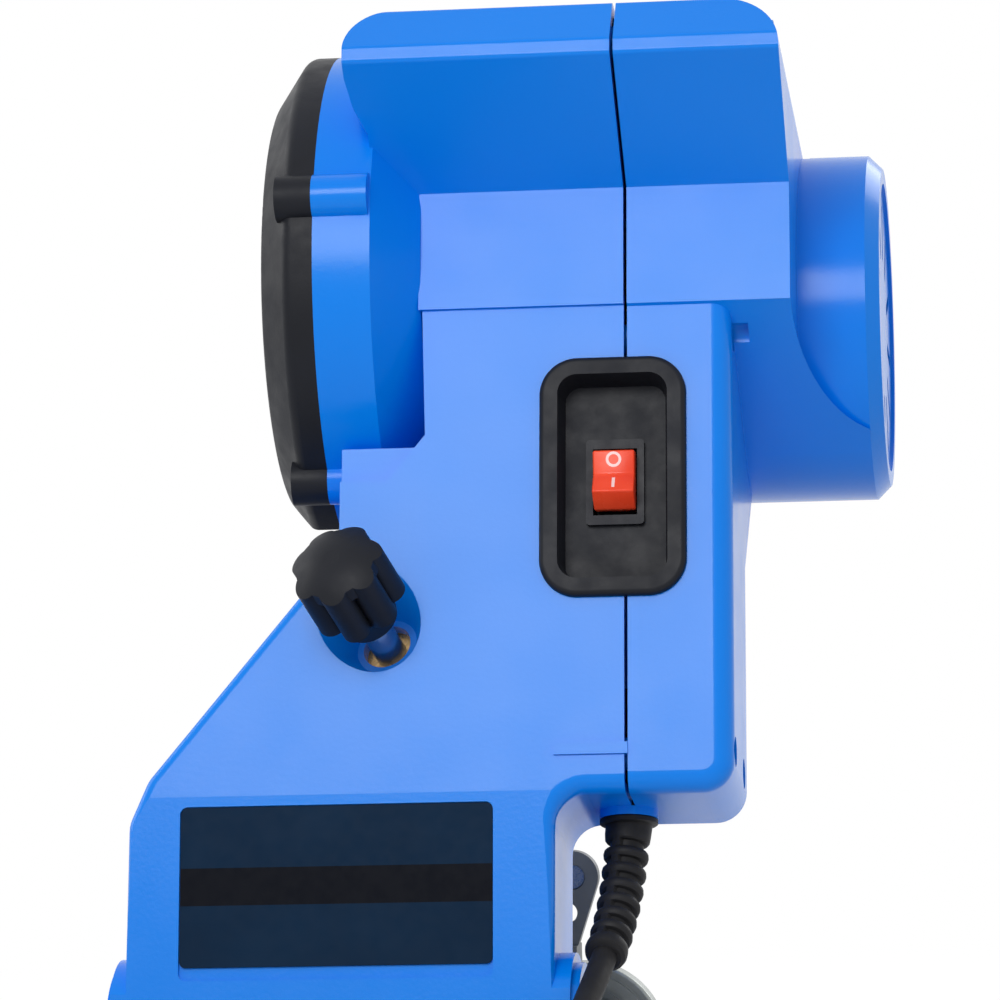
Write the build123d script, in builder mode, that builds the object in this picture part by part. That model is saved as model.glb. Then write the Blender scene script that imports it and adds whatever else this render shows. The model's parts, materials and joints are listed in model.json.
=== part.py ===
"""Electric chainsaw sharpener, built as separate pieces.

The machine stands on its cast base. +X runs along the wheel spindle towards the motor, +Y from
the hinge to the chain vise, +Z up. The origin lies on the bench, on the swivel axis of the vise,
straight below the point where the wheel meets the chain.

The grinding head leans on a hinge. Its pieces are drawn in the head's own directions: x along
the spindle, u through its depth and v up its arm, counted from the hinge axis.
"""
from build123d import *
from math import acos, asin, atan2, copysign, cos, hypot, pi, radians, sin, sqrt, tan
import os

os.makedirs("parts", exist_ok=True)

# ---------------------------------------------------------------- driving dimensions, mm and deg
# clearances
running = 0.05            # shaft in a bore
slip = 0.3                # moving faces that pass each other
seat = 0.1                # fixed pieces that drop into a pocket

# head attitude
rest_tilt = 15.0          # the head leans this far forward at rest
swing = 30.0              # and comes this much further down to the chain
hinge_height = 50.0

# spindle and motor, in head directions
spindle_u = 27.0
spindle_v = 205.4
tooth_module = 1.0
gear_teeth = 36
pinion_teeth = 12
gear_width = 9.0
motor_angle = -9.0        # direction from spindle to motor shaft

# grinding wheel
wheel_radius = 54.0
wheel_thickness = 3.2
wheel_bore = 11.5
spindle_radius = 4.0

# hood and wheel cover
hood_radius = 66.8
hood_wall = 2.6
joint_x = -1.0            # plane where cover and hood meet
hood_band = 15.0
hood_cone_radius = 51.0
cover_band = 7.2
cover_dome = 8.2
cover_face_radius = 55.0
cover_wall = 2.4
guard_cut = 38.0          # from the spindle to the open edge of the guard
guard_cut_angle = -45.0
screw_boss_radius = 6.1
screw_boss_proud = 2.4    # the cover's screw bosses stand this far in front of its band
screw_boss_angles = (172.0, 40.0, -118.0)

# housing
wall = 3.0
near_u = -22.0            # near face of the arm
far_u = 22.0
face_step = 1.0           # the face over the switch stands proud by this
split_x = 78.8            # plane where the two shells meet
seam_width = 0.9          # open joint line round the shells
seam_depth = 1.2
arm_left_x = -49.0
arm_right_x = 60.0
arm_foot_v = -16.0
arm_open_v = 46.0         # the arm is open at its back below this
slope_left_x = -44.3      # the arm's left side slopes up from here
slope_low_v = 65.3
slope_rise = 60.2
shoulder_left_x = 4.4
shoulder_x = 16.7
shoulder_rise = 11.9
label_top_v = 60.6
label_slope = 2.4
body_bottom_v = 60.0
body_right_x = 105.5
block_left_x = 24.5
block_right_x = 121.0
brow_u = -58.0
brow_face = 4.0
top_near_u = -50.0
block_far_u = 92.0
brow_left_x = 9.0
drum_radius = 46.6
drum_end_x = 142.5
drum_chamfer = 3.6
fairing_arc = 24.0
edge_round = 5.0
brow_round = 12.0         # upper left corner of the brow
corner_round = 16.0       # upper right corner of the block
ridge_round = 1.6         # long edges of the block
notch_round = 8.0
# heights on the arm, counted from the spindle
shoulder_drop = 62.8
block_drop = 17.4
face_rise = 14.1
brow_rise = 38.6
top_rise = 55.1
far_drop = 7.4
gusset_drop = 77.4
switch_drop = 63.4

# switch
switch_x = 75.1
frame_width = 37.8
frame_height = 63.2
frame_round = 9.8
frame_lip = 2.2
recess_width = 28.3
recess_height = 54.0
recess_depth = 9.0
bezel_width = 15.0
bezel_height = 22.6
bezel_lip = 1.6
rocker_width = 11.0
rocker_height = 16.4
rocker_throw = 22.0

# rating plate
plate_width = 79.8
plate_height = 40.8
plate_thickness = 0.8
plate_x = 4.5
plate_v = 37.4
plate_gap = 0.2

# depth screw
knob_x = 14.6
knob_v = 102.8
screw_lean_x = 14.6       # the screw runs towards the motor side by this angle
screw_lean_v = -23.0      # and down by this one
screw_radius = 4.0
screw_tip_u = 46.0
knob_radius = 12.4
knob_lobe_radius = 3.8
knob_lobes = 7
knob_cap_radius = 10.5
knob_cap = 6.5            # depth of the domed cap
knob_crown = 4.0          # rise of its dome
knob_height = 20.0
knob_stem_radius = 7.5
knob_stem = 6.9
knob_recess_radius = 12.4  # where the knob's recess meets the near face
knob_recess_depth = 7.0
stop_gap = 0.4

# hinge
pin_radius = 5.0
bush_radius = 7.0
bush_flange = 9.0
boss_radius = 20.0
boss_flange_radius = 22.5
boss_flange = 4.0         # the wide part of each boss stands out this far
left_boss_x = -54.0
right_boss_x = 66.0
lug_radius = 14.0
lug_left = (-44.3, -28.0)
lug_right = (38.0, 55.3)
spring_wire = 1.25
spring_radius = 6.6
spring_turns = 12
spring_leg = 30.0
bush_flange_thick = 1.4

# base
base_left = -60.0
base_right = 72.0
base_back = 22.0          # behind the hinge axis
base_front = 52.0
base_thickness = 6.0
base_corner = 12.0
bench_hole_radius = 4.25
bench_hole_x = 108.0      # spacing of the four bench holes
bench_hole_y = 140.0
bench_hole_middle_y = -34.0
tower_radius = 26.0
tower_top = 54.5
ear_half = 8.0
ear_end = 58.0
ear_slit = 2.4
ear_rise = 12.5
pivot_floor = 12.0         # the vise pivot's bore stops here
cross_wall = 18.0
cross_wall_top = 28.0
rib_thick = 6.0
post_radius = 7.5
lock_x = 46.0
lock_z = 30.0
lock_wheel_radius = 23.5
lock_wheel_width = 9.0
lock_screw_radius = 3.0

# vise
pivot_radius = 14.0
table_radius = 42.0
table_thickness = 7.0
jaw_top = 112.0
jaw_half_length = 42.5
jaw_thickness = 11.0
jaw_height = 26.0
block_length = 60.0       # block that carries the jaws
block_width = 32.0
chain_slot = 1.6
jaw_opening = 3.0
clamp_z = 92.0
clamp_radius = 3.0
guide_radius = 3.0
guide_x = 28.0

# chain stop
bracket_x = 47.8
bracket_y = -19.0
bracket_hole_z = 81.0
bracket_radius = 7.4
bracket_foot = 4.6        # half width of the bracket at the turntable
bracket_lean = 3.3        # its foot stands this far inside the eye
bracket_thickness = 5.0
bracket_pin_radius = 2.5
pawl_tip_x = 16.0

# mains lead
cord_radius = 3.25
exit_x = 76.5             # the lead leaves through a ring that both shells share
exit_u = 4.0
ring_height = 2.2         # raised ring round the exit
sleeve_top_radius = 6.0
sleeve_end_radius = 5.4
collar_radius = 7.5
collar_height = 1.7
cord_route = [
    (71.8, -170.4, 72.0),
    (68.2, -189.0, 60.5),
    (61.8, -200.5, 47.0),
    (52.0, -208.5, 32.0),
    (39.0, -213.5, 16.0),
    (22.0, -219.5, 6.5),
    (3.0, -224.8, 3.4),
    (-16.0, -227.25, 3.3),
]
sleeve_lead = 22.0        # length of the sleeve's last, straight control leg

# ---------------------------------------------------------------- derived sizes and directions
full_tilt = radians(rest_tilt + swing)
tilt = radians(rest_tilt)
hinge_y = -(spindle_u * cos(full_tilt) + spindle_v * sin(full_tilt))
centre_distance = tooth_module * (gear_teeth + pinion_teeth) / 2
motor_u = spindle_u + centre_distance * cos(radians(motor_angle))
motor_v = spindle_v + centre_distance * sin(radians(motor_angle))
shoulder_v = spindle_v - shoulder_drop
block_under_v = spindle_v - block_drop
block_over_v = spindle_v + face_rise
block_far_low_v = spindle_v - far_drop
brow_low_v = spindle_v + brow_rise
brow_high_v = brow_low_v + brow_face
top_v = spindle_v + top_rise
gusset_v = spindle_v - gusset_drop
switch_v = spindle_v - switch_drop

head_u = Vector(0, cos(tilt), -sin(tilt))
head_v = Vector(0, sin(tilt), cos(tilt))
hinge_centre = Vector(0, hinge_y, hinge_height)


def head_point(x, u, v):
    """Machine coordinates of a point that is given in the head's directions."""
    return hinge_centre + Vector(x, 0, 0) + head_u * u + head_v * v


def in_head(point):
    """The head's x, u and v of a point in machine coordinates."""
    arm = point - hinge_centre
    return arm.X, arm.dot(head_u), arm.dot(head_v)


def across(x, u=0.0, v=0.0):
    """Plane square to the spindle: local x is u, local y is v, normal +X."""
    return Plane(origin=head_point(x, u, v), x_dir=head_u, z_dir=(1, 0, 0))


def facing(u, x=0.0, v=0.0):
    """Plane parallel to the near face: local x is x, local y is v, normal towards the front."""
    return Plane(origin=head_point(x, u, v), x_dir=(1, 0, 0), z_dir=-head_u)


def level(v, x=0.0, u=0.0):
    """Plane square to the arm: local x is x, local y is u, normal up the arm."""
    return Plane(origin=head_point(x, u, v), x_dir=(1, 0, 0), z_dir=head_v)


def keep(piece, name):
    """Label a finished piece and write it to its own file."""
    piece.label = name
    export_step(piece, f"parts/{name}.step")


def head_edges(edges, x=None, u=None, v=None, margin=0.6):
    """The edges whose middle lies in the given ranges of the head's coordinates."""
    chosen = ShapeList()
    for edge in edges:
        place = in_head(edge @ 0.5)
        ranges = (x, u, v)
        if all(r is None or r[0] - margin <= p <= r[1] + margin for p, r in zip(place, ranges)):
            chosen.append(edge)
    return chosen


spindle_axis = Axis(head_point(0, spindle_u, spindle_v), (1, 0, 0))
motor_axis = Axis(head_point(0, motor_u, motor_v), (1, 0, 0))

# the chord that opens the guard towards the chain
cut_normal = (cos(radians(guard_cut_angle)), sin(radians(guard_cut_angle)))
cut_span = 2 * hood_radius + 30

# positions along the spindle
hub_x = joint_x + hood_band                 # hood back wall
front_bearing_x = hub_x + 1.0
bearing_radius = 11.0
bearing_width = 7.0
plate_x_near = 45.0                         # bearing plate
plate_thick = 8.0
gear_x = plate_x_near - 4.0 - gear_width

# ---------------------------------------------------------------- outlines
arm_outline = [
    (arm_left_x, arm_foot_v),
    (arm_left_x, slope_low_v - 11.3),
    (slope_left_x, slope_low_v),
    (shoulder_left_x, slope_low_v + slope_rise),
    (shoulder_left_x, shoulder_v),
    (shoulder_x, shoulder_v),
    (block_left_x + 1.9, shoulder_v + shoulder_rise),
    (block_left_x, block_over_v),
    (split_x, block_over_v),
    (split_x, body_bottom_v),
    (arm_right_x, body_bottom_v),
    (arm_right_x, arm_foot_v),
]

foot_low_v = arm_foot_v - 10.0              # below everything at the foot of the arm
foot_wall_u = near_u + (label_top_v - arm_foot_v) * tan(radians(label_slope)) + wall
block_section = [
    (near_u - face_step, block_under_v),
    (near_u - face_step, block_over_v),
    (brow_u, brow_low_v),
    (brow_u, brow_high_v),
    (top_near_u, top_v),
    (block_far_u - 12.0, top_v),
    (block_far_u, top_v - 12.0),
    (block_far_u, block_far_low_v),
    (far_u, gusset_v),
    (far_u - 8.0, gusset_v),
    (far_u - 8.0, block_under_v),
]
end_section = block_section[:8] + [(block_far_u - 4.0, block_under_v)]
brow_section = [
    (near_u - face_step, block_over_v),
    (brow_u, brow_low_v),
    (brow_u, brow_high_v),
    (top_near_u, top_v),
    (block_far_u - 12.0, top_v),
    (block_far_u - 4.0, top_v - 8.0),
    (block_far_u - 14.0, brow_low_v - 10.0),
]


def outline(points):
    """A face from straight lines through the points."""
    return Polygon(*points, align=None)


def block_face(points):
    """A section of the block with its long upper edges rounded."""
    with BuildSketch(Plane.XY) as face:
        Polygon(*points, align=None)
        fillet(face.vertices().filter_by_position(Axis.Y, brow_low_v - 1, top_v + 1), ridge_round)
    return face.sketch


def guard_opening(margin=0.0, mode=Mode.ADD):
    """The square that is cut off the guard to bare the wheel towards the chain."""
    reach = guard_cut - margin + cut_span / 2
    middle = (spindle_u + reach * cut_normal[0], spindle_v + reach * cut_normal[1])
    with Locations(Location((middle[0], middle[1], 0), (0, 0, guard_cut_angle))):
        return Rectangle(cut_span, cut_span, mode=mode)


def tangent_foot(point, centre, radius):
    """Where the lower tangent from a point meets a circle."""
    away = (centre[0] - point[0], centre[1] - point[1])
    distance = hypot(*away)
    bearing = atan2(away[1], away[0]) - asin(radius / distance)
    run = sqrt(distance ** 2 - radius ** 2)
    return point[0] + run * cos(bearing), point[1] + run * sin(bearing)


def screw_boss_places(radius=hood_radius - 1.5):
    """Centres of the cover's screw bosses, as u and v."""
    return [(spindle_u + radius * cos(radians(a)), spindle_v + radius * sin(radians(a)))
            for a in screw_boss_angles]


# the bearing plate is screwed to four posts of the front shell
plate_screw_places = [(spindle_u - 17, spindle_v + 22), (spindle_u - 17, spindle_v - 18),
                      (motor_u + 14, motor_v + 20), (motor_u + 14, motor_v - 14)]
plate_screw_radius = 2.0
plate_post_radius = 4.5
plate_screw_grip = 10.0

stator_x = 84.0
stator_length = 32.0
stator_radius = 28.5
stator_ring = 4.0
armature_radius = 14.8
pole_gap = 0.5
shaft_bore = spindle_radius
rear_bearing_x = drum_end_x - wall - bearing_width
screw_head_depth = 5.0
cover_screw_radius = 1.75
cover_head_radius = 3.2
cover_screw_grip = 8.0

# housing screws run along X through the rear shell into posts of the front shell
upper_screw_places = [(-46.0, top_v - 9.5), (block_far_u - 10.0, top_v - 10.5)]
middle_screw_places = [(-13.0, block_under_v - 7.0)]
lower_screw_places = [(-14.4, body_bottom_v + 11.0), (13.0, body_bottom_v + 11.0)]
housing_screw_radius = 2.0
housing_head_radius = 3.6
screw_grip = 16.0

# the depth screw's line, counted from the middle of its recess in the near face
screw_line = Vector(tan(radians(screw_lean_x)), 0, 0) + head_u + head_v * tan(radians(screw_lean_v))
screw_line = screw_line.normalized()
screw_origin = head_point(knob_x, near_u, knob_v)
insert_radius = 6.4
insert_start = 10.0
insert_end = 22.0
knob_boss_radius = knob_recess_radius + 1.4


def along_screw(depth):
    """Plane square to the depth screw, at a depth below the near face, normal towards the knob."""
    return Plane(origin=screw_origin + screw_line * depth, z_dir=-screw_line)


housing_post_radius = 4.2

# ---------------------------------------------------------------- front shell
with BuildPart() as front_shell:
    with BuildSketch(facing(near_u)):
        outline(arm_outline)
    extrude(amount=-(far_u - near_u))
    with BuildSketch(across(block_left_x)):
        add(block_face(block_section))
    extrude(amount=split_x - block_left_x)
    with BuildSketch(across(brow_left_x)):
        add(block_face(brow_section))
    extrude(amount=block_left_x - brow_left_x)
    # the brow's left end: round above, drawn in towards the hood below
    with BuildSketch(facing(brow_u - 2)):
        with Locations((brow_left_x - 2, top_v + 2)):
            Rectangle(brow_round + 2, brow_round + 2, align=(Align.MIN, Align.MAX))
        with Locations((brow_left_x + brow_round, top_v - brow_round)):
            Circle(brow_round, mode=Mode.SUBTRACT)
        outline([(brow_left_x - 2, brow_low_v - 3), (brow_left_x, brow_low_v - 3),
                 (brow_left_x + 1.2, brow_low_v - 8), (brow_left_x + 4.2, brow_low_v - 13),
                 (brow_left_x + 4.2, block_over_v - 5), (brow_left_x - 2, block_over_v - 5)])
    extrude(amount=-(block_far_u - brow_u + 4), mode=Mode.SUBTRACT)
    # round the arm's near edges before the hood joins
    notch = head_edges(front_shell.edges(), x=(arm_right_x, arm_right_x), u=(0, 0),
                       v=(body_bottom_v, body_bottom_v), margin=0.2)
    fillet(notch, notch_round)
    right_side = head_edges(front_shell.edges(), x=(arm_right_x - 1, split_x - 1), u=(near_u, near_u),
                            v=(0.0, body_bottom_v + 3), margin=0.2)
    fillet(right_side, edge_round - 0.6)
    shoulder = head_edges(front_shell.edges(), x=(arm_left_x, slope_left_x + 1), u=(-1, 1),
                          v=(slope_low_v - 15, slope_low_v + 5), margin=0.2)
    fillet(shoulder, 9.0)
    left_side = head_edges(front_shell.edges(), x=(arm_left_x, 2.0), u=(near_u, near_u),
                           v=(0.0, 120.0), margin=0.2)
    fillet(left_side, 2.6)
    # hood: band, cone and its join to the arm
    with BuildSketch(across(joint_x, spindle_u, spindle_v)):
        Circle(hood_radius)
    extrude(amount=hood_band)
    with BuildSketch(across(joint_x + hood_band, spindle_u, spindle_v)):
        Circle(hood_radius)
    with BuildSketch(across(block_left_x + 0.5, spindle_u, spindle_v)):
        Circle(hood_cone_radius)
    loft()
    # ledge between the hood and the arm's shoulder
    with BuildSketch(across(shoulder_left_x, (near_u + wall + far_u) / 2, shoulder_v + 2.4)):
        Rectangle(far_u - near_u - wall, 14.0)
    extrude(amount=block_left_x + 1 - shoulder_left_x)
    # screw bosses of the cover
    with BuildSketch(across(joint_x)):
        with Locations(*screw_boss_places()):
            Circle(screw_boss_radius)
    extrude(amount=hood_band - 0.5)
    # hinge bosses
    for x_from, x_to, radius in (
        (arm_left_x - boss_flange, arm_left_x + wall, boss_flange_radius),
        (left_boss_x, arm_left_x, boss_radius),
        (arm_right_x - wall, arm_right_x + boss_flange, boss_flange_radius),
        (arm_right_x, right_boss_x, boss_radius),
    ):
        with BuildSketch(across(x_from)):
            Circle(radius)
        extrude(amount=x_to - x_from)
    # inside of the block and the arm
    inner_x = split_x - (block_left_x + wall)
    with BuildSketch(across(block_left_x + wall)):
        outline(block_section)
        offset(amount=-wall, kind=Kind.INTERSECTION)
    extrude(amount=inner_x, mode=Mode.SUBTRACT)
    with BuildSketch(facing(near_u + wall)):
        outline(arm_outline)
        offset(amount=-wall, kind=Kind.INTERSECTION)
        with Locations((split_x - wall, (body_bottom_v + block_over_v) / 2)):
            Rectangle(2 * wall, block_over_v - body_bottom_v - 2 * wall)
        with Locations(((arm_left_x + arm_right_x) / 2, arm_foot_v)):
            Rectangle(arm_right_x - arm_left_x, 2 * (label_top_v - arm_foot_v), mode=Mode.SUBTRACT)
    extrude(amount=-(far_u - near_u - 2 * wall), mode=Mode.SUBTRACT)
    with BuildSketch(facing(foot_wall_u)):
        with Locations(((arm_left_x + arm_right_x) / 2, (label_top_v + foot_low_v) / 2)):
            Rectangle(arm_right_x - arm_left_x - 2 * wall, label_top_v - foot_low_v)
    extrude(amount=-(far_u - foot_wall_u - wall), mode=Mode.SUBTRACT)
    # the back and the foot of the arm are open
    with BuildSketch(facing(foot_wall_u)):
        with Locations(((arm_left_x + arm_right_x) / 2, (arm_open_v + foot_low_v) / 2)):
            Rectangle(arm_right_x - arm_left_x - 2 * wall, arm_open_v - foot_low_v)
    extrude(amount=-(far_u - foot_wall_u + 8), mode=Mode.SUBTRACT)
    # inside of the hood
    with BuildSketch(across(joint_x, spindle_u, spindle_v)):
        Circle(hood_radius - hood_wall)
    extrude(amount=hood_band - 3.0, mode=Mode.SUBTRACT)
    # gear room between the hood's back wall and the block
    with BuildSketch(across(hub_x)):
        with Locations((spindle_u, spindle_v)):
            Circle(hood_cone_radius - wall)
        guard_opening(wall, Mode.SUBTRACT)
    extrude(amount=block_left_x + wall - hub_x, mode=Mode.SUBTRACT)
    # hub for the front spindle bearing
    with BuildSketch(across(hub_x - 3, spindle_u, spindle_v)):
        Circle(bearing_radius + wall)
    extrude(amount=bearing_width + 4.5)
    with BuildSketch(across(front_bearing_x, spindle_u, spindle_v)):
        Circle(bearing_radius)
    extrude(amount=bearing_width + 6, mode=Mode.SUBTRACT)
    with BuildSketch(across(joint_x, spindle_u, spindle_v)):
        Circle(bearing_radius - 2)
    extrude(amount=hood_band + 5, mode=Mode.SUBTRACT)
    with BuildSketch(across(joint_x - 1)):
        guard_opening()
    extrude(amount=block_left_x - joint_x + 1, mode=Mode.SUBTRACT)
    # sloped label face and the recess for the rating plate
    slope_end = (label_top_v + 40) * tan(radians(label_slope))
    with BuildSketch(across(arm_left_x - 8)):
        outline([(near_u - 20, label_top_v), (near_u, label_top_v), (near_u + slope_end, -40),
                 (near_u - 20, -40)])
    extrude(amount=right_boss_x - arm_left_x + 12, mode=Mode.SUBTRACT)

label_u = near_u + (label_top_v - plate_v) * tan(radians(label_slope))


def label_plane(depth=0.0):
    """Plane of the sloped label face, centred on the rating plate."""
    slope = radians(label_slope)
    normal = -head_u * cos(slope) - head_v * sin(slope)
    origin = head_point(plate_x, label_u, plate_v) - normal * depth
    return Plane(origin=origin, x_dir=(1, 0, 0), z_dir=normal)


with front_shell:
    # recess of the rating plate
    with BuildSketch(label_plane()):
        with Locations((0, -1.6)):
            RectangleRounded(plate_width + 2 * plate_gap, plate_height + 3.6, 2.0)
    extrude(amount=-(plate_thickness + 0.4), mode=Mode.SUBTRACT)
    # aperture for the switch frame, across both shells
    with BuildSketch(facing(near_u - 4, switch_x, switch_v)):
        RectangleRounded(recess_width + 4.0, recess_height + 4.0, 6.0)
    extrude(amount=-20, mode=Mode.SUBTRACT)
    # half of the ring round the lead's exit, and the hole for its sleeve
    with BuildSketch(level(body_bottom_v + 0.5, exit_x, exit_u)):
        Circle(collar_radius)
        with Locations((split_x - exit_x, 0)):
            Rectangle(2 * collar_radius, 2 * collar_radius, align=(Align.MAX, Align.CENTER),
                      mode=Mode.INTERSECT)
    extrude(amount=-(ring_height + 0.5))
    with BuildSketch(level(body_bottom_v - ring_height - 1, exit_x, exit_u)):
        Circle(sleeve_top_radius + seat)
    extrude(amount=ring_height + wall + 2, mode=Mode.SUBTRACT)
    # open joint line round the edge that meets the other shell
    with BuildSketch(across(split_x)) as joint_core:
        outline(block_section)
        outline([(near_u, body_bottom_v), (far_u, body_bottom_v), (far_u, block_under_v + 1),
                 (near_u, block_under_v + 1)])
        offset(amount=-seam_depth, kind=Kind.INTERSECTION)
    with BuildSketch(across(split_x)):
        with Locations((0, (body_bottom_v + top_v) / 2)):
            Rectangle(3 * block_far_u, top_v)
        with Locations((exit_u, body_bottom_v - ring_height)):
            Rectangle(2 * collar_radius + 1, 2 * ring_height, mode=Mode.SUBTRACT)
        add(joint_core.sketch, mode=Mode.SUBTRACT)
    extrude(amount=-seam_width, mode=Mode.SUBTRACT)
    # hinge bush seats
    with BuildSketch(across(left_boss_x - 1)):
        Circle(bush_radius)
    extrude(amount=right_boss_x - left_boss_x + 2, mode=Mode.SUBTRACT)
    # posts for the bearing plate
    with BuildSketch(across(hub_x - 1)):
        with Locations(*plate_screw_places):
            Circle(plate_post_radius)
    extrude(amount=plate_x_near - hub_x + 1)
    with BuildSketch(across(plate_x_near - plate_screw_grip)):
        with Locations(*plate_screw_places):
            Circle(plate_screw_radius)
    extrude(amount=plate_screw_grip, mode=Mode.SUBTRACT)
    # posts for the housing screws
    with BuildSketch(across(block_left_x + wall - 1)):
        with Locations(*upper_screw_places, *middle_screw_places):
            Circle(housing_post_radius)
    extrude(amount=split_x - (block_left_x + wall - 1))
    with BuildSketch(across(arm_right_x)):
        for u, v in lower_screw_places:
            with Locations((u, v)):
                Circle(housing_post_radius)
            with Locations((u + copysign(housing_post_radius, u), v)):
                Rectangle(2 * housing_post_radius, wall)
    extrude(amount=split_x - arm_right_x)
    with BuildSketch(across(split_x - screw_grip)):
        with Locations(*upper_screw_places, *middle_screw_places, *lower_screw_places):
            Circle(housing_screw_radius)
    extrude(amount=screw_grip, mode=Mode.SUBTRACT)
    # boss of the depth screw: recess, insert pocket and way through the back
    with BuildSketch(along_screw(0)):
        Circle(knob_boss_radius)
    extrude(amount=-(insert_end + 2.0))
    with BuildSketch(facing(near_u, knob_x, knob_v)):
        Circle(2 * knob_boss_radius)
    extrude(amount=knob_boss_radius, mode=Mode.SUBTRACT)
    recess_floor_radius = knob_stem_radius + 0.6
    recess_flare = (knob_recess_radius - recess_floor_radius) / knob_recess_depth
    recess_reach = knob_boss_radius
    with BuildSketch(along_screw(-recess_reach)):
        Circle(knob_recess_radius + recess_flare * recess_reach)
    with BuildSketch(along_screw(knob_recess_depth)):
        Circle(recess_floor_radius)
    loft(mode=Mode.SUBTRACT)
    with BuildSketch(along_screw(0)):
        Circle(insert_radius)
    extrude(amount=-insert_end, mode=Mode.SUBTRACT)
    with BuildSketch(along_screw(0)):
        Circle(screw_radius + 1)
    extrude(amount=-80, mode=Mode.SUBTRACT)
    # holes for the cover's screws
    with BuildSketch(across(joint_x)):
        with Locations(*screw_boss_places()):
            Circle(cover_screw_radius)
    extrude(amount=cover_screw_grip, mode=Mode.SUBTRACT)
keep(front_shell.part, "front_shell")

# ---------------------------------------------------------------- rear shell
fairing_foot = tangent_foot((near_u - face_step, block_under_v), (motor_u, motor_v), drum_radius)

with BuildPart() as fairing:
    # the flat under the block that runs down to the drum
    with BuildSketch(across(split_x)):
        outline([(near_u - face_step, block_under_v), fairing_foot,
                 (motor_u, motor_v - drum_radius / 2), (motor_u, block_under_v)])
    extrude(amount=drum_end_x - drum_chamfer - split_x)
    # its end sweeps out to the drum in a quarter round
    with BuildSketch(facing(near_u - 4)):
        with Locations((block_right_x + fairing_arc, block_under_v)):
            Circle(fairing_arc)
    extrude(amount=-(motor_u - near_u + 8), mode=Mode.SUBTRACT)

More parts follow.
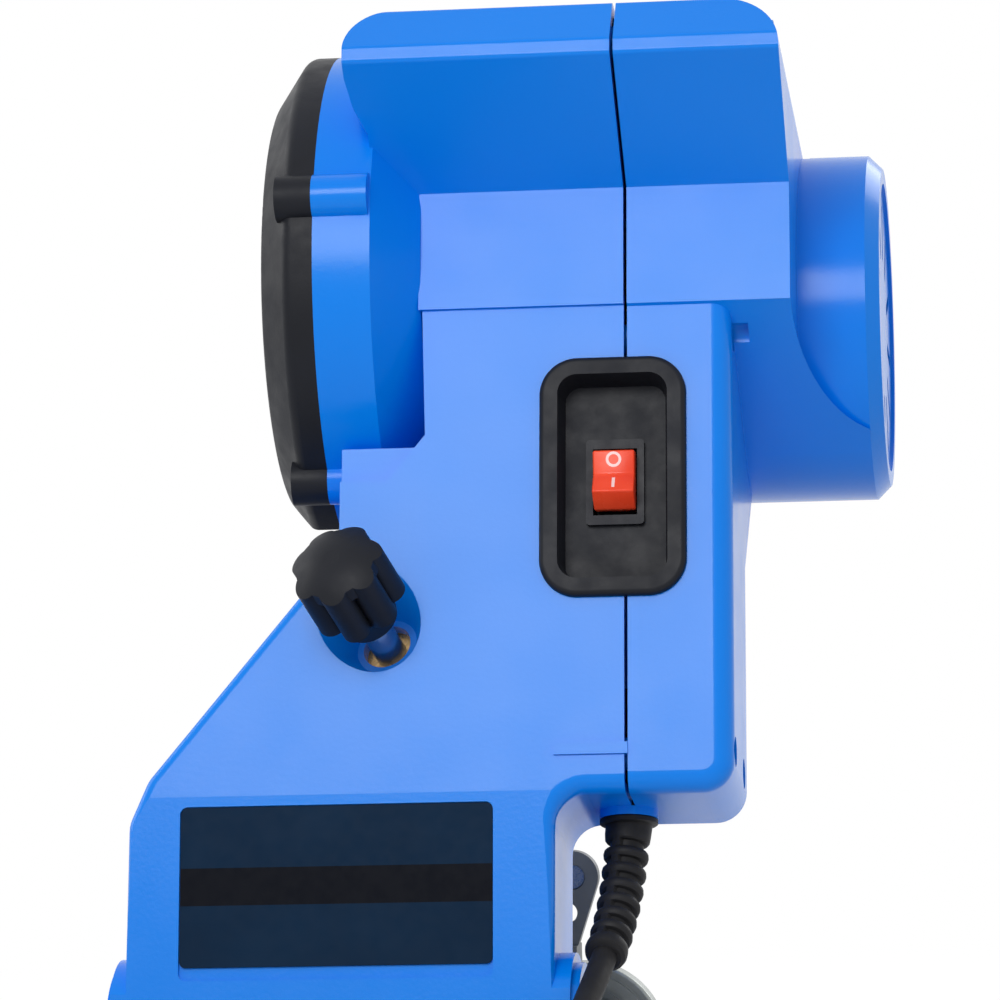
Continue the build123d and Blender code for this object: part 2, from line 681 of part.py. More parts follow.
with BuildPart() as rear_shell:
    # lower body, its near edges rounded
    with BuildSketch(facing(near_u)):
        outline([(split_x, body_bottom_v), (body_right_x, body_bottom_v),
                 (body_right_x, block_under_v), (split_x, block_under_v)])
    extrude(amount=-(far_u - near_u))
    fillet(head_edges(rear_shell.edges(), x=(body_right_x, body_right_x), u=(0, 0),
                      v=(body_bottom_v, body_bottom_v)), notch_round)
    outer = head_edges(rear_shell.edges(), x=(split_x + 1, body_right_x), u=(near_u, near_u),
                       v=(body_bottom_v, block_under_v - 1), margin=0.2)
    fillet(outer, edge_round)
    # block with its rounded shoulder
    with BuildSketch(across(split_x)):
        add(block_face(block_section))
    extrude(amount=body_right_x - split_x)
    with BuildSketch(across(split_x)):
        add(block_face(end_section))
    extrude(amount=block_right_x - split_x)
    add(fairing.part)
    with BuildSketch(across(split_x, motor_u, motor_v)):
        Circle(drum_radius)
    extrude(amount=drum_end_x - drum_chamfer - split_x)
    with BuildSketch(across(drum_end_x - drum_chamfer, motor_u, motor_v)):
        Circle(drum_radius)
    with BuildSketch(across(drum_end_x, motor_u, motor_v)):
        Circle(drum_radius - drum_chamfer)
    loft()
    with BuildSketch(facing(brow_u - 2)):
        with Locations((block_right_x + 2, top_v + 2)):
            Rectangle(corner_round + 2, corner_round + 2, align=(Align.MAX, Align.MAX))
        with Locations((block_right_x - corner_round, top_v - corner_round)):
            Circle(corner_round, mode=Mode.SUBTRACT)
    extrude(amount=-(block_far_u - brow_u + 6), mode=Mode.SUBTRACT)
    # inside
    with BuildSketch(across(split_x)):
        outline(block_section)
        offset(amount=-wall, kind=Kind.INTERSECTION)
    extrude(amount=body_right_x - wall - split_x, mode=Mode.SUBTRACT)
    with BuildSketch(across(split_x)):
        outline(end_section)
        offset(amount=-wall, kind=Kind.INTERSECTION)
    extrude(amount=block_right_x - wall - corner_round / 3 - split_x, mode=Mode.SUBTRACT)
    with BuildSketch(across(split_x, motor_u, motor_v)):
        Circle(stator_radius + slip)
    extrude(amount=wall, mode=Mode.SUBTRACT)
    with BuildSketch(across(split_x + wall, motor_u, motor_v)):
        Circle(drum_radius - wall)
    extrude(amount=drum_end_x - 2 * wall - split_x, mode=Mode.SUBTRACT)
    with BuildSketch(facing(near_u + wall)):
        outline([(split_x, body_bottom_v + wall), (body_right_x - wall, body_bottom_v + wall),
                 (body_right_x - wall, block_under_v + 8), (split_x, block_under_v + 8)])
    extrude(amount=-(far_u - near_u - 2 * wall), mode=Mode.SUBTRACT)
    # rear bearing hub, stator ribs and cooling slots in the end of the drum
    with BuildSketch(across(rear_bearing_x - 1, motor_u, motor_v)):
        Circle(bearing_radius + wall)
    extrude(amount=drum_end_x - wall - rear_bearing_x + 1)
    with BuildSketch(across(rear_bearing_x - 2, motor_u, motor_v)):
        Circle(bearing_radius)
    extrude(amount=bearing_width + 2.2, mode=Mode.SUBTRACT)
    with BuildSketch(across(stator_x, motor_u, motor_v)):
        with PolarLocations((stator_radius + drum_radius) / 2, 4, 45):
            Rectangle(drum_radius - stator_radius - 2, wall)
        Circle(stator_radius + 0.05, mode=Mode.SUBTRACT)
    extrude(amount=drum_end_x - wall - stator_x)
    with BuildSketch(across(drum_end_x - 1.0, motor_u, motor_v)):
        Circle(drum_radius - drum_chamfer - 4)
    extrude(amount=2, mode=Mode.SUBTRACT)
    with BuildSketch(across(drum_end_x - wall - 1, motor_u, motor_v)):
        with PolarLocations(27.0, 12):
            SlotOverall(16.0, 3.2)
    extrude(amount=wall + 2, mode=Mode.SUBTRACT)
    # switch aperture and cord sleeve
    with BuildSketch(facing(near_u - 4, switch_x, switch_v)):
        RectangleRounded(recess_width + 4.0, recess_height + 4.0, 6.0)
    extrude(amount=-20, mode=Mode.SUBTRACT)
    with BuildSketch(level(body_bottom_v + 0.5, exit_x, exit_u)):
        Circle(collar_radius)
        with Locations((split_x - exit_x, 0)):
            Rectangle(2 * collar_radius, 2 * collar_radius, align=(Align.MIN, Align.CENTER),
                      mode=Mode.INTERSECT)
    extrude(amount=-(ring_height + 0.5))
    with BuildSketch(level(body_bottom_v - ring_height - 1, exit_x, exit_u)):
        Circle(sleeve_top_radius + seat)
    extrude(amount=ring_height + wall + 2, mode=Mode.SUBTRACT)
    # tubes for the housing screws
    for places, end_x in ((upper_screw_places, block_right_x),
                          (middle_screw_places + lower_screw_places, body_right_x)):
        with BuildSketch(across(split_x)):
            with Locations(*places):
                Circle(housing_post_radius)
        extrude(amount=end_x - split_x - 2)
        with BuildSketch(across(split_x)):
            with Locations(*places):
                Circle(housing_screw_radius + 0.25)
        extrude(amount=end_x - split_x + 2, mode=Mode.SUBTRACT)
        with BuildSketch(across(end_x - screw_head_depth)):
            with Locations(*places):
                Circle(housing_head_radius + 0.25)
        extrude(amount=screw_head_depth + 4, mode=Mode.SUBTRACT)
keep(rear_shell.part, "rear_shell")

# ---------------------------------------------------------------- wheel cover
with BuildPart() as wheel_cover:
    with BuildSketch(level(spindle_v)):
        with BuildLine():
            Polyline((joint_x, spindle_u), (joint_x, spindle_u - hood_radius),
                     (joint_x - cover_band, spindle_u - hood_radius),
                     (joint_x - cover_band - cover_dome, spindle_u - cover_face_radius),
                     (joint_x - cover_band - cover_dome, spindle_u), close=True)
        make_face()
    revolve(axis=spindle_axis)
    fillet(wheel_cover.edges().filter_by(GeomType.CIRCLE).sort_by(Axis.X)[:2], 3.0)
    with BuildSketch(across(joint_x)):
        with Locations(*screw_boss_places()):
            Circle(screw_boss_radius)
    extrude(amount=-(cover_band + screw_boss_proud))
    with BuildSketch(level(spindle_v)):
        with BuildLine():
            Polyline((joint_x, spindle_u), (joint_x, spindle_u - hood_radius + hood_wall),
                     (joint_x - cover_band + 0.8, spindle_u - hood_radius + hood_wall),
                     (joint_x - cover_band - cover_dome + cover_wall, spindle_u - cover_face_radius + 2),
                     (joint_x - cover_band - cover_dome + cover_wall, spindle_u), close=True)
        make_face()
    revolve(axis=spindle_axis, mode=Mode.SUBTRACT)
    with BuildSketch(across(joint_x)):
        with Locations(*screw_boss_places()):
            Circle(screw_boss_radius)
    extrude(amount=-cover_band)
    with BuildSketch(across(joint_x - 2)):
        guard_opening()
    extrude(amount=-30, both=True, mode=Mode.SUBTRACT)
    with BuildSketch(across(joint_x + 1)):
        with Locations(*screw_boss_places()):
            Circle(cover_screw_radius + 0.25)
    extrude(amount=-20, mode=Mode.SUBTRACT)
    with BuildSketch(across(joint_x - cover_band)):
        with Locations(*screw_boss_places()):
            Circle(cover_head_radius + 0.25)
    extrude(amount=-20, mode=Mode.SUBTRACT)
keep(wheel_cover.part, "wheel_cover")

# ---------------------------------------------------------------- screws of the housing
with BuildPart() as cover_screws:
    with BuildSketch(across(joint_x - cover_band)):
        with Locations(*screw_boss_places()):
            Circle(cover_head_radius)
    extrude(amount=-2.2)
    with BuildSketch(across(joint_x - cover_band - 2.2)):
        with Locations(*screw_boss_places()):
            Rectangle(4.0, 0.8)
            Rectangle(0.8, 4.0)
    extrude(amount=1.2, mode=Mode.SUBTRACT)
    with BuildSketch(across(joint_x - cover_band)):
        with Locations(*screw_boss_places()):
            Circle(cover_screw_radius)
    extrude(amount=cover_band + cover_screw_grip)
keep(cover_screws.part, "cover_screws")

with BuildPart() as housing_screws:
    for places, end_x in ((upper_screw_places, block_right_x),
                          (middle_screw_places + lower_screw_places, body_right_x)):
        with BuildSketch(across(end_x - screw_head_depth)):
            with Locations(*places):
                Circle(housing_head_radius)
        extrude(amount=2.4)
        with BuildSketch(across(end_x - screw_head_depth + 2.4)):
            with Locations(*places):
                Rectangle(4.4, 0.9)
                Rectangle(0.9, 4.4)
        extrude(amount=-1.4, mode=Mode.SUBTRACT)
        with BuildSketch(across(split_x - screw_grip + 1)):
            with Locations(*places):
                Circle(housing_screw_radius)
        extrude(amount=end_x - screw_head_depth - split_x + screw_grip - 1)
keep(housing_screws.part, "housing_screws")

# ---------------------------------------------------------------- rating plate
with BuildPart() as rating_plate:
    with BuildSketch(label_plane(plate_thickness + 0.4)):
        RectangleRounded(plate_width, plate_height, 1.6)
    extrude(amount=plate_thickness)
keep(rating_plate.part, "rating_plate")

# ---------------------------------------------------------------- switch
floor_u = near_u - frame_lip + recess_depth
with BuildPart() as switch_frame:
    with BuildSketch(facing(near_u, switch_x, switch_v)):
        RectangleRounded(frame_width, frame_height, frame_round)
    extrude(amount=frame_lip)
    fillet(switch_frame.faces().sort_by(Axis(head_point(0, 0, 0), head_u))[0].edges(), 1.4)
    with BuildSketch(facing(near_u, switch_x, switch_v)):
        RectangleRounded(recess_width + 3.6, recess_height + 3.6, 5.8)
    extrude(amount=-(recess_depth - frame_lip + 1.6))
    with BuildSketch(facing(near_u - frame_lip, switch_x, switch_v)):
        RectangleRounded(recess_width, recess_height, 5.0)
    with BuildSketch(facing(floor_u, switch_x, switch_v)):
        RectangleRounded(recess_width - 2.4, recess_height - 2.4, 4.0)
    loft(mode=Mode.SUBTRACT)
    with BuildSketch(facing(floor_u, switch_x, switch_v)):
        Rectangle(bezel_width - 2.0, bezel_height - 3.0)
    extrude(amount=-6, mode=Mode.SUBTRACT)
keep(switch_frame.part, "switch_frame")

rocker_pivot_u = floor_u - bezel_lip + 3.2
rocker_depth = 6.4
rocker_pin_radius = 1.0
rocker_gap = 0.4

with BuildPart() as switch_body:
    with BuildSketch(facing(floor_u, switch_x, switch_v)):
        RectangleRounded(bezel_width, bezel_height, 1.0)
    extrude(amount=bezel_lip)
    with BuildSketch(facing(floor_u, switch_x, switch_v)):
        Rectangle(bezel_width - 2.2, bezel_height - 3.2)
    extrude(amount=-14)
    with BuildSketch(facing(floor_u - bezel_lip, switch_x, switch_v)):
        Rectangle(rocker_width + rocker_gap, rocker_height + 1.2)
    extrude(amount=-10, mode=Mode.SUBTRACT)
    with BuildSketch(across(switch_x - rocker_width / 2 - 0.8, rocker_pivot_u, switch_v)):
        Circle(rocker_pin_radius + running)
    extrude(amount=rocker_width + 1.6, mode=Mode.SUBTRACT)
    # terminals
    with BuildSketch(facing(floor_u + 14, switch_x, switch_v)):
        with Locations((0, -6.5), (0, 0), (0, 6.5)):
            Rectangle(6.3, 0.8)
    extrude(amount=-7)
keep(switch_body.part, "switch_body")


def rocker_plane(x):
    """Plane across the rocker at its rest angle: local x is depth, local y is height."""
    lean = radians(-rocker_throw / 2)
    return Plane(origin=head_point(x, rocker_pivot_u, switch_v),
                 x_dir=head_u * cos(lean) + head_v * sin(lean), z_dir=(1, 0, 0))


with BuildPart() as rocker:
    with BuildSketch(rocker_plane(switch_x - rocker_width / 2 + 0.1)):
        with BuildLine():
            Polyline((-5.0, 0), (-rocker_depth, 7.2), (-2.2, 8.1), (2.4, 6.6),
                     (2.4, -6.6), (-2.2, -8.1), (-rocker_depth, -7.2), close=True)
        make_face()
    extrude(amount=rocker_width - 0.2)
    with BuildSketch(rocker_plane(switch_x - rocker_width / 2 - 0.6)):
        Circle(rocker_pin_radius)
    extrude(amount=rocker_width + 1.2)
keep(rocker.part, "rocker")

# ---------------------------------------------------------------- depth screw
tip_depth = (screw_tip_u - near_u) / screw_line.dot(head_u)
knob_base = -5.5          # end of the knob's stem, in front of the near face
knob_top = knob_base - knob_stem - knob_height
# plane along the screw: local x is depth, local y is distance from its line
screw_side = Plane(origin=screw_origin, x_dir=screw_line, z_dir=screw_line.cross(head_v))

with BuildPart() as depth_screw:
    with BuildSketch(along_screw(knob_top + 5)):
        Circle(screw_radius)
    extrude(amount=-(tip_depth - knob_top - 5))
    chamfer(depth_screw.edges().filter_by(GeomType.CIRCLE).sort_by(Axis(screw_origin, screw_line))[-1], 1.4)
keep(depth_screw.part, "depth_screw")

with BuildPart() as depth_insert:
    with BuildSketch(along_screw(insert_start)):
        Circle(insert_radius - 0.02)
        Circle(screw_radius + running, mode=Mode.SUBTRACT)
    extrude(amount=-(insert_end - insert_start))
keep(depth_insert.part, "depth_insert")

with BuildPart() as depth_knob:
    # lobes under a shallower, domed cap
    with BuildSketch(along_screw(knob_top)):
        Circle(knob_radius - knob_lobe_radius - 1.0)
        with PolarLocations(knob_radius - knob_lobe_radius, knob_lobes):
            Circle(knob_lobe_radius)
    extrude(amount=-knob_height)
    with BuildSketch(along_screw(knob_top)):
        Circle(knob_cap_radius)
    extrude(amount=-knob_cap)
    with BuildSketch(screw_side):
        with BuildLine():
            ThreePointArc((knob_top, 0), (knob_top + 0.3 * knob_crown, 0.62 * knob_radius),
                          (knob_top + knob_crown, knob_radius + 0.1))
            Polyline((knob_top + knob_crown, knob_radius + 0.1), (knob_top + knob_height, knob_radius + 0.1),
                     (knob_top + knob_height, 0), (knob_top, 0))
        make_face()
    revolve(axis=Axis(screw_origin, screw_line), mode=Mode.INTERSECT)
    with BuildSketch(along_screw(knob_top + knob_height)):
        Circle(knob_cap_radius - 1.5)
    with BuildSketch(along_screw(knob_base)):
        Circle(knob_stem_radius)
    loft()
    with BuildSketch(along_screw(knob_base)):
        Circle(screw_radius + running)
    extrude(amount=knob_base - knob_top - 5, mode=Mode.SUBTRACT)
keep(depth_knob.part, "depth_knob")

# ---------------------------------------------------------------- wheel and spindle
flange_radius = 17.0
inner_flange_width = 4.4
outer_flange_width = 3.4
nut_width = 4.5
shoulder_radius = 5.6
half_wheel = wheel_thickness / 2

with BuildPart() as grinding_wheel:
    with BuildSketch(across(-half_wheel, spindle_u, spindle_v)):
        Circle(wheel_radius)
        Circle(wheel_bore, mode=Mode.SUBTRACT)
    extrude(amount=wheel_thickness)
keep(grinding_wheel.part, "grinding_wheel")

with BuildPart() as inner_flange:
    with BuildSketch(across(half_wheel, spindle_u, spindle_v)):
        Circle(flange_radius)
    extrude(amount=inner_flange_width)
    with BuildSketch(across(half_wheel, spindle_u, spindle_v)):
        Circle(wheel_bore - running)
    extrude(amount=-(wheel_thickness - 0.4))
    with BuildSketch(across(half_wheel, spindle_u, spindle_v)):
        Circle(flange_radius - 3)
        Circle(wheel_bore + 0.5, mode=Mode.SUBTRACT)
    extrude(amount=1.0, mode=Mode.SUBTRACT)
    with BuildSketch(across(-half_wheel, spindle_u, spindle_v)):
        Circle(spindle_radius)
    extrude(amount=20, mode=Mode.SUBTRACT)
keep(inner_flange.part, "inner_flange")

with BuildPart() as outer_flange:
    with BuildSketch(across(-half_wheel, spindle_u, spindle_v)):
        Circle(flange_radius)
        Circle(spindle_radius, mode=Mode.SUBTRACT)
    extrude(amount=-outer_flange_width)
    with BuildSketch(across(-half_wheel, spindle_u, spindle_v)):
        Circle(flange_radius - 3)
        Circle(spindle_radius + 3, mode=Mode.SUBTRACT)
    extrude(amount=-1.0, mode=Mode.SUBTRACT)
keep(outer_flange.part, "outer_flange")

with BuildPart() as wheel_nut:
    with BuildSketch(across(-half_wheel - outer_flange_width, spindle_u, spindle_v)):
        RegularPolygon(6.5, 6, major_radius=False)
        Circle(spindle_radius, mode=Mode.SUBTRACT)
    extrude(amount=-nut_width)
keep(wheel_nut.part, "wheel_nut")

plate_bearing_x = plate_x_near + 0.5
with BuildPart() as spindle:
    with BuildSketch(across(-half_wheel - outer_flange_width - nut_width - 0.8, spindle_u, spindle_v)):
        Circle(spindle_radius)
    extrude(amount=plate_bearing_x + bearing_width + half_wheel + outer_flange_width + nut_width + 0.8)
    with BuildSketch(across(half_wheel + inner_flange_width, spindle_u, spindle_v)):
        Circle(shoulder_radius)
    extrude(amount=front_bearing_x - half_wheel - inner_flange_width)
keep(spindle.part, "spindle")


with BuildPart() as spindle_bearings:
    for x in (front_bearing_x, plate_bearing_x):
        with BuildSketch(across(x, spindle_u, spindle_v)):
            Circle(bearing_radius - 0.01)
            Circle(spindle_radius + 0.01, mode=Mode.SUBTRACT)
        extrude(amount=bearing_width)
        for side in (x, x + bearing_width - 0.5):
            with BuildSketch(across(side, spindle_u, spindle_v)):
                Circle(bearing_radius - 1.8)
                Circle(spindle_radius + 1.6, mode=Mode.SUBTRACT)
            extrude(amount=0.5, mode=Mode.SUBTRACT)
keep(spindle_bearings.part, "spindle_bearings")

# ---------------------------------------------------------------- gears
pressure_angle = radians(20.0)
backlash = 0.12           # taken off each tooth, at the pitch circle


def involute(angle):
    return tan(angle) - angle


def gear_points(teeth, turn):
    """Outline of an involute gear whose first tooth points along turn, in radians."""
    pitch_radius = tooth_module * teeth / 2
    base_radius = pitch_radius * cos(pressure_angle)
    root_radius = pitch_radius - 1.25 * tooth_module
    tip_radius = pitch_radius + 0.95 * tooth_module
    half = pi / (2 * teeth) - backlash / (2 * pitch_radius)
    start = max(base_radius, root_radius)
    flank = []
    for step in range(4):
        radius = start + (tip_radius - start) * step / 3
        roll = involute(pressure_angle) - involute(acos(min(1.0, base_radius / radius)))
        flank.append((radius, half + roll))
    points = []
    for tooth in range(teeth):
        middle = turn + 2 * pi * tooth / teeth
        side = [(root_radius, flank[0][1] + 0.02)] + flank
        for radius, angle in side:
            points.append((radius * cos(middle - angle), radius * sin(middle - angle)))
        for radius, angle in reversed(side):
            points.append((radius * cos(middle + angle), radius * sin(middle + angle)))
    return points


mesh_angle = radians(motor_angle)
with BuildPart() as driven_gear:
    with BuildSketch(across(gear_x, spindle_u, spindle_v)):
        Polygon(*gear_points(gear_teeth, mesh_angle + pi / gear_teeth), align=None)
        Circle(spindle_radius, mode=Mode.SUBTRACT)
    extrude(amount=gear_width)
    for side in (gear_x, gear_x + gear_width - 2.0):
        with BuildSketch(across(side, spindle_u, spindle_v)):
            Circle(14.5)
            Circle(8.0, mode=Mode.SUBTRACT)
        extrude(amount=2.0, mode=Mode.SUBTRACT)
keep(driven_gear.part, "driven_gear")

with BuildPart() as motor_pinion:
    with BuildSketch(across(gear_x - 0.5, motor_u, motor_v)):
        Polygon(*gear_points(pinion_teeth, mesh_angle + pi), align=None)
        Circle(shaft_bore, mode=Mode.SUBTRACT)
    extrude(amount=gear_width + 1.0)
keep(motor_pinion.part, "motor_pinion")

# ---------------------------------------------------------------- bearing plate
with BuildPart() as bearing_plate:
    with BuildSketch(across(plate_x_near)):
        with Locations((spindle_u, spindle_v), (motor_u, motor_v)):
            Circle(bearing_radius + 3.5)
        with Locations(*plate_screw_places):
            Circle(plate_post_radius)
        make_hull()
    extrude(amount=plate_thick)
    with BuildSketch(across(plate_x_near)):
        with Locations((spindle_u, spindle_v), (motor_u, motor_v)):
            Circle(bearing_radius)
    extrude(amount=plate_thick - 0.5, mode=Mode.SUBTRACT)
    with BuildSketch(across(plate_x_near)):
        with Locations((spindle_u, spindle_v), (motor_u, motor_v)):
            Circle(bearing_radius - 2)
        with Locations(*plate_screw_places):
            Circle(plate_screw_radius + 0.25)
    extrude(amount=plate_thick, mode=Mode.SUBTRACT)
keep(bearing_plate.part, "bearing_plate")

with BuildPart() as plate_screws:
    with BuildSketch(across(plate_x_near + plate_thick)):
        with Locations(*plate_screw_places):
            Circle(3.5)
    extrude(amount=2.6)
    with BuildSketch(across(plate_x_near + plate_thick + 2.6)):
        with Locations(*plate_screw_places):
            RegularPolygon(1.5, 6)
    extrude(amount=-1.5, mode=Mode.SUBTRACT)
    with BuildSketch(across(plate_x_near + plate_thick)):
        with Locations(*plate_screw_places):
            Circle(plate_screw_radius)
    extrude(amount=-(plate_thick + plate_screw_grip - 1))
keep(plate_screws.part, "plate_screws")

# ---------------------------------------------------------------- motor
with BuildPart() as motor_bearings:
    for x in (plate_bearing_x, rear_bearing_x):
        with BuildSketch(across(x, motor_u, motor_v)):
            Circle(bearing_radius - 0.01)
            Circle(spindle_radius + 0.01, mode=Mode.SUBTRACT)
        extrude(amount=bearing_width)
        for side in (x, x + bearing_width - 0.5):
            with BuildSketch(across(side, motor_u, motor_v)):
                Circle(bearing_radius - 1.8)
                Circle(spindle_radius + 1.6, mode=Mode.SUBTRACT)
            extrude(amount=0.5, mode=Mode.SUBTRACT)
keep(motor_bearings.part, "motor_bearings")

neck_width = 12.0
pole_shoe = 3.6
shoe_radius = armature_radius + pole_gap + pole_shoe
with BuildPart() as stator_core:
    with BuildSketch(across(stator_x, motor_u, motor_v)):
        Circle(stator_radius)
        Circle(stator_radius - stator_ring, mode=Mode.SUBTRACT)
        Rectangle(2 * stator_radius - stator_ring, neck_width)
        Circle(shoe_radius)
        with Locations((0, shoe_radius), (0, -shoe_radius)):
            Rectangle(1.5 * neck_width, neck_width, mode=Mode.SUBTRACT)
        Circle(armature_radius + pole_gap, mode=Mode.SUBTRACT)
    extrude(amount=stator_length)
keep(stator_core.part, "stator_core")

coil_height = 4.0
coil_overhang = 4.0
coil_thick = 3.0
with BuildPart() as field_windings:
    for side in (-1, 1):
        coil_u = motor_u + side * (shoe_radius + 0.2 + coil_thick / 2)
        with BuildSketch(facing(coil_u, stator_x + stator_length / 2, motor_v)):
            RectangleRounded(stator_length + 2 * coil_overhang, neck_width + 2 * coil_height, coil_height)
            Rectangle(stator_length + 0.4, neck_width + 0.4, mode=Mode.SUBTRACT)
        extrude(amount=coil_thick / 2, both=True)
keep(field_windings.part, "field_windings")

slots = 12
slot_depth = 5.0
slot_width = 3.0
slot_middle = armature_radius - 3.4
with BuildPart() as armature_core:
    with BuildSketch(across(stator_x, motor_u, motor_v)):
        Circle(armature_radius)
        with PolarLocations(slot_middle, slots):
            Rectangle(slot_depth, slot_width, mode=Mode.SUBTRACT)
        with PolarLocations(armature_radius, slots):
            Rectangle(slot_depth, slot_width / 3, mode=Mode.SUBTRACT)
        Circle(shaft_bore, mode=Mode.SUBTRACT)
    extrude(amount=stator_length)
keep(armature_core.part, "armature_core")

winding_end = 3.6
with BuildPart() as armature_winding:
    with BuildSketch(across(stator_x - winding_end, motor_u, motor_v)):
        with PolarLocations(slot_middle, slots):
            Rectangle(slot_depth - 0.2, slot_width - 0.2)
    extrude(amount=stator_length + 2 * winding_end)
    for x in (stator_x - winding_end, stator_x + stator_length):
        with BuildSketch(across(x, motor_u, motor_v)):
            Circle(slot_middle + slot_depth / 2)
            Circle(shaft_bore + 2, mode=Mode.SUBTRACT)
        extrude(amount=winding_end)
keep(armature_winding.part, "armature_winding")

commutator_x = stator_x + stator_length + winding_end + 1.4
commutator_length = 9.5
commutator_radius = 11.0
with BuildPart() as commutator:
    with BuildSketch(across(commutator_x, motor_u, motor_v)):
        Circle(commutator_radius)
        with PolarLocations(commutator_radius, slots):
            Rectangle(2.0, 0.6, mode=Mode.SUBTRACT)
        Circle(shaft_bore, mode=Mode.SUBTRACT)
    extrude(amount=commutator_length)
keep(commutator.part, "commutator")

with BuildPart() as motor_shaft:
    with BuildSketch(across(gear_x - 1.0, motor_u, motor_v)):
        Circle(spindle_radius)
    extrude(amount=rear_bearing_x + bearing_width - gear_x + 1.0)
keep(motor_shaft.part, "motor_shaft")

fan_x = 60.0
fan_width = 12.0
fan_radius = 24.0
fan_hub = 7.5
fan_blades = 9
with BuildPart() as cooling_fan:
    with BuildSketch(across(fan_x, motor_u, motor_v)):
        Circle(fan_radius)
    extrude(amount=1.6)
    with BuildSketch(across(fan_x, motor_u, motor_v)):
        Circle(fan_hub)
        with PolarLocations((fan_hub + fan_radius) / 2 - 1, fan_blades):
            Rectangle(fan_radius - fan_hub, 1.6)
    extrude(amount=fan_width)
    with BuildSketch(across(fan_x - 1, motor_u, motor_v)):
        Circle(shaft_bore)
    extrude(amount=fan_width + 2, mode=Mode.SUBTRACT)
keep(cooling_fan.part, "cooling_fan")

brush_x = commutator_x + commutator_length / 2
brush_gap = 0.15
brush_length = 13.0
brush_size = (6.0, 5.0)
with BuildPart() as carbon_brushes:
    with BuildSketch(level(motor_v, brush_x, motor_u)):
        Rectangle(brush_size[1], brush_size[0])
    extrude(amount=commutator_radius + brush_length, both=True)
    with BuildSketch(across(commutator_x - 3, motor_u, motor_v)):
        Circle(commutator_radius + brush_gap)
    extrude(amount=commutator_length + 6, mode=Mode.SUBTRACT)
keep(carbon_brushes.part, "carbon_brushes")

holder_inner = 14.6
holder_outer = 26.5
holder_wall = 1.5
with BuildPart() as brush_holders:
    for side in (-1, 1):
        with BuildSketch(level(motor_v + side * holder_inner, brush_x, motor_u)):
            Rectangle(brush_size[1] + 2 * holder_wall + 0.1, brush_size[0] + 2 * holder_wall + 0.1)
        extrude(amount=side * (holder_outer - holder_inner))
        with BuildSketch(level(motor_v + side * (holder_inner - 1), brush_x, motor_u)):
            Rectangle(brush_size[1] + 0.1, brush_size[0] + 0.1)
        extrude(amount=side * (holder_outer - holder_inner - holder_wall + 1), mode=Mode.SUBTRACT)
        foot_x = drum_end_x - wall - brush_x
        with BuildSketch(level(motor_v + side * (holder_inner + 2), brush_x, motor_u)):
            with Locations((foot_x / 2 + brush_size[1] / 4 + holder_wall / 2, 0)):
                Rectangle(foot_x - brush_size[1] / 2 - holder_wall, brush_size[0])
        extrude(amount=side * (holder_outer - holder_inner - 3))
keep(brush_holders.part, "brush_holders")

# ---------------------------------------------------------------- small parts in the arm
with BuildPart() as capacitor:
    with BuildSketch(facing(far_u - wall, split_x + 13.0, 100.0)):
        RectangleRounded(15.0, 22.0, 1.0)
    extrude(amount=8.0)
keep(capacitor.part, "capacitor")

collar_inner = 2.5        # the sleeve's inner collar
sleeve_neck = 6.0
tail_length = 26.0
clamp_v = body_bottom_v + 17.0
with BuildPart() as lead_tail:
    with BuildSketch(level(body_bottom_v + wall + collar_inner, exit_x, exit_u)):
        Circle(cord_radius)
    extrude(amount=tail_length)
keep(lead_tail.part, "lead_tail")

with BuildPart() as cord_clamp:
    clamp_front = exit_u - cord_radius - 3.0
    with BuildSketch(level(clamp_v, exit_x, (clamp_front + far_u - wall) / 2)):
        Rectangle(15.0, far_u - wall - clamp_front)
        with Locations((0, exit_u - (clamp_front + far_u - wall) / 2)):
            Circle(cord_radius + running, mode=Mode.SUBTRACT)
    extrude(amount=6.0)
keep(cord_clamp.part, "cord_clamp")

# cord sleeve: collar at the housing, then a taper that bows back with the lead
sleeve_start = head_point(exit_x, exit_u, body_bottom_v - ring_height)
sleeve_end = Vector(*cord_route[0])
sleeve_bow = sleeve_end + (sleeve_end - Vector(*cord_route[1])).normalized() * sleeve_lead


def sleeve_plane(share):
    """Plane square to the sleeve's middle line, at a share of its length."""
    first = sleeve_start + (sleeve_bow - sleeve_start) * share
    second = sleeve_bow + (sleeve_end - sleeve_bow) * share
    return Plane(origin=first + (second - first) * share, x_dir=(1, 0, 0), z_dir=second - first)


with BuildPart() as cord_sleeve:
    for share in (0.1, 0.4, 0.7, 1.0):
        with BuildSketch(sleeve_plane(share)):
            Circle(sleeve_top_radius + (sleeve_end_radius - sleeve_top_radius) * share)
    loft()
    with BuildSketch(level(body_bottom_v - ring_height - collar_height, exit_x, exit_u)):
        Circle(collar_radius)
    extrude(amount=collar_height)
    with BuildSketch(level(body_bottom_v - ring_height - sleeve_neck, exit_x, exit_u)):
        Circle(sleeve_top_radius)
    extrude(amount=sleeve_neck + ring_height + wall)
    with BuildSketch(level(body_bottom_v + wall, exit_x, exit_u)):
        Circle(collar_radius)
    extrude(amount=collar_inner)
keep(cord_sleeve.part, "cord_sleeve")

# ---------------------------------------------------------------- hinge
with BuildPart() as hinge_bushes:
    for end_x, inner_x, side in ((left_boss_x, arm_left_x + wall, 1), (right_boss_x, arm_right_x - wall, -1)):
        with BuildSketch(across(end_x)):
            Circle(bush_radius)
        extrude(amount=inner_x - end_x)
        with BuildSketch(across(inner_x)):
            Circle(bush_flange)
        extrude(amount=side * bush_flange_thick)
    with BuildSketch(across(left_boss_x - 1)):
        Circle(pin_radius + running)
    extrude(amount=right_boss_x - left_boss_x + 2, mode=Mode.SUBTRACT)
keep(hinge_bushes.part, "hinge_bushes")

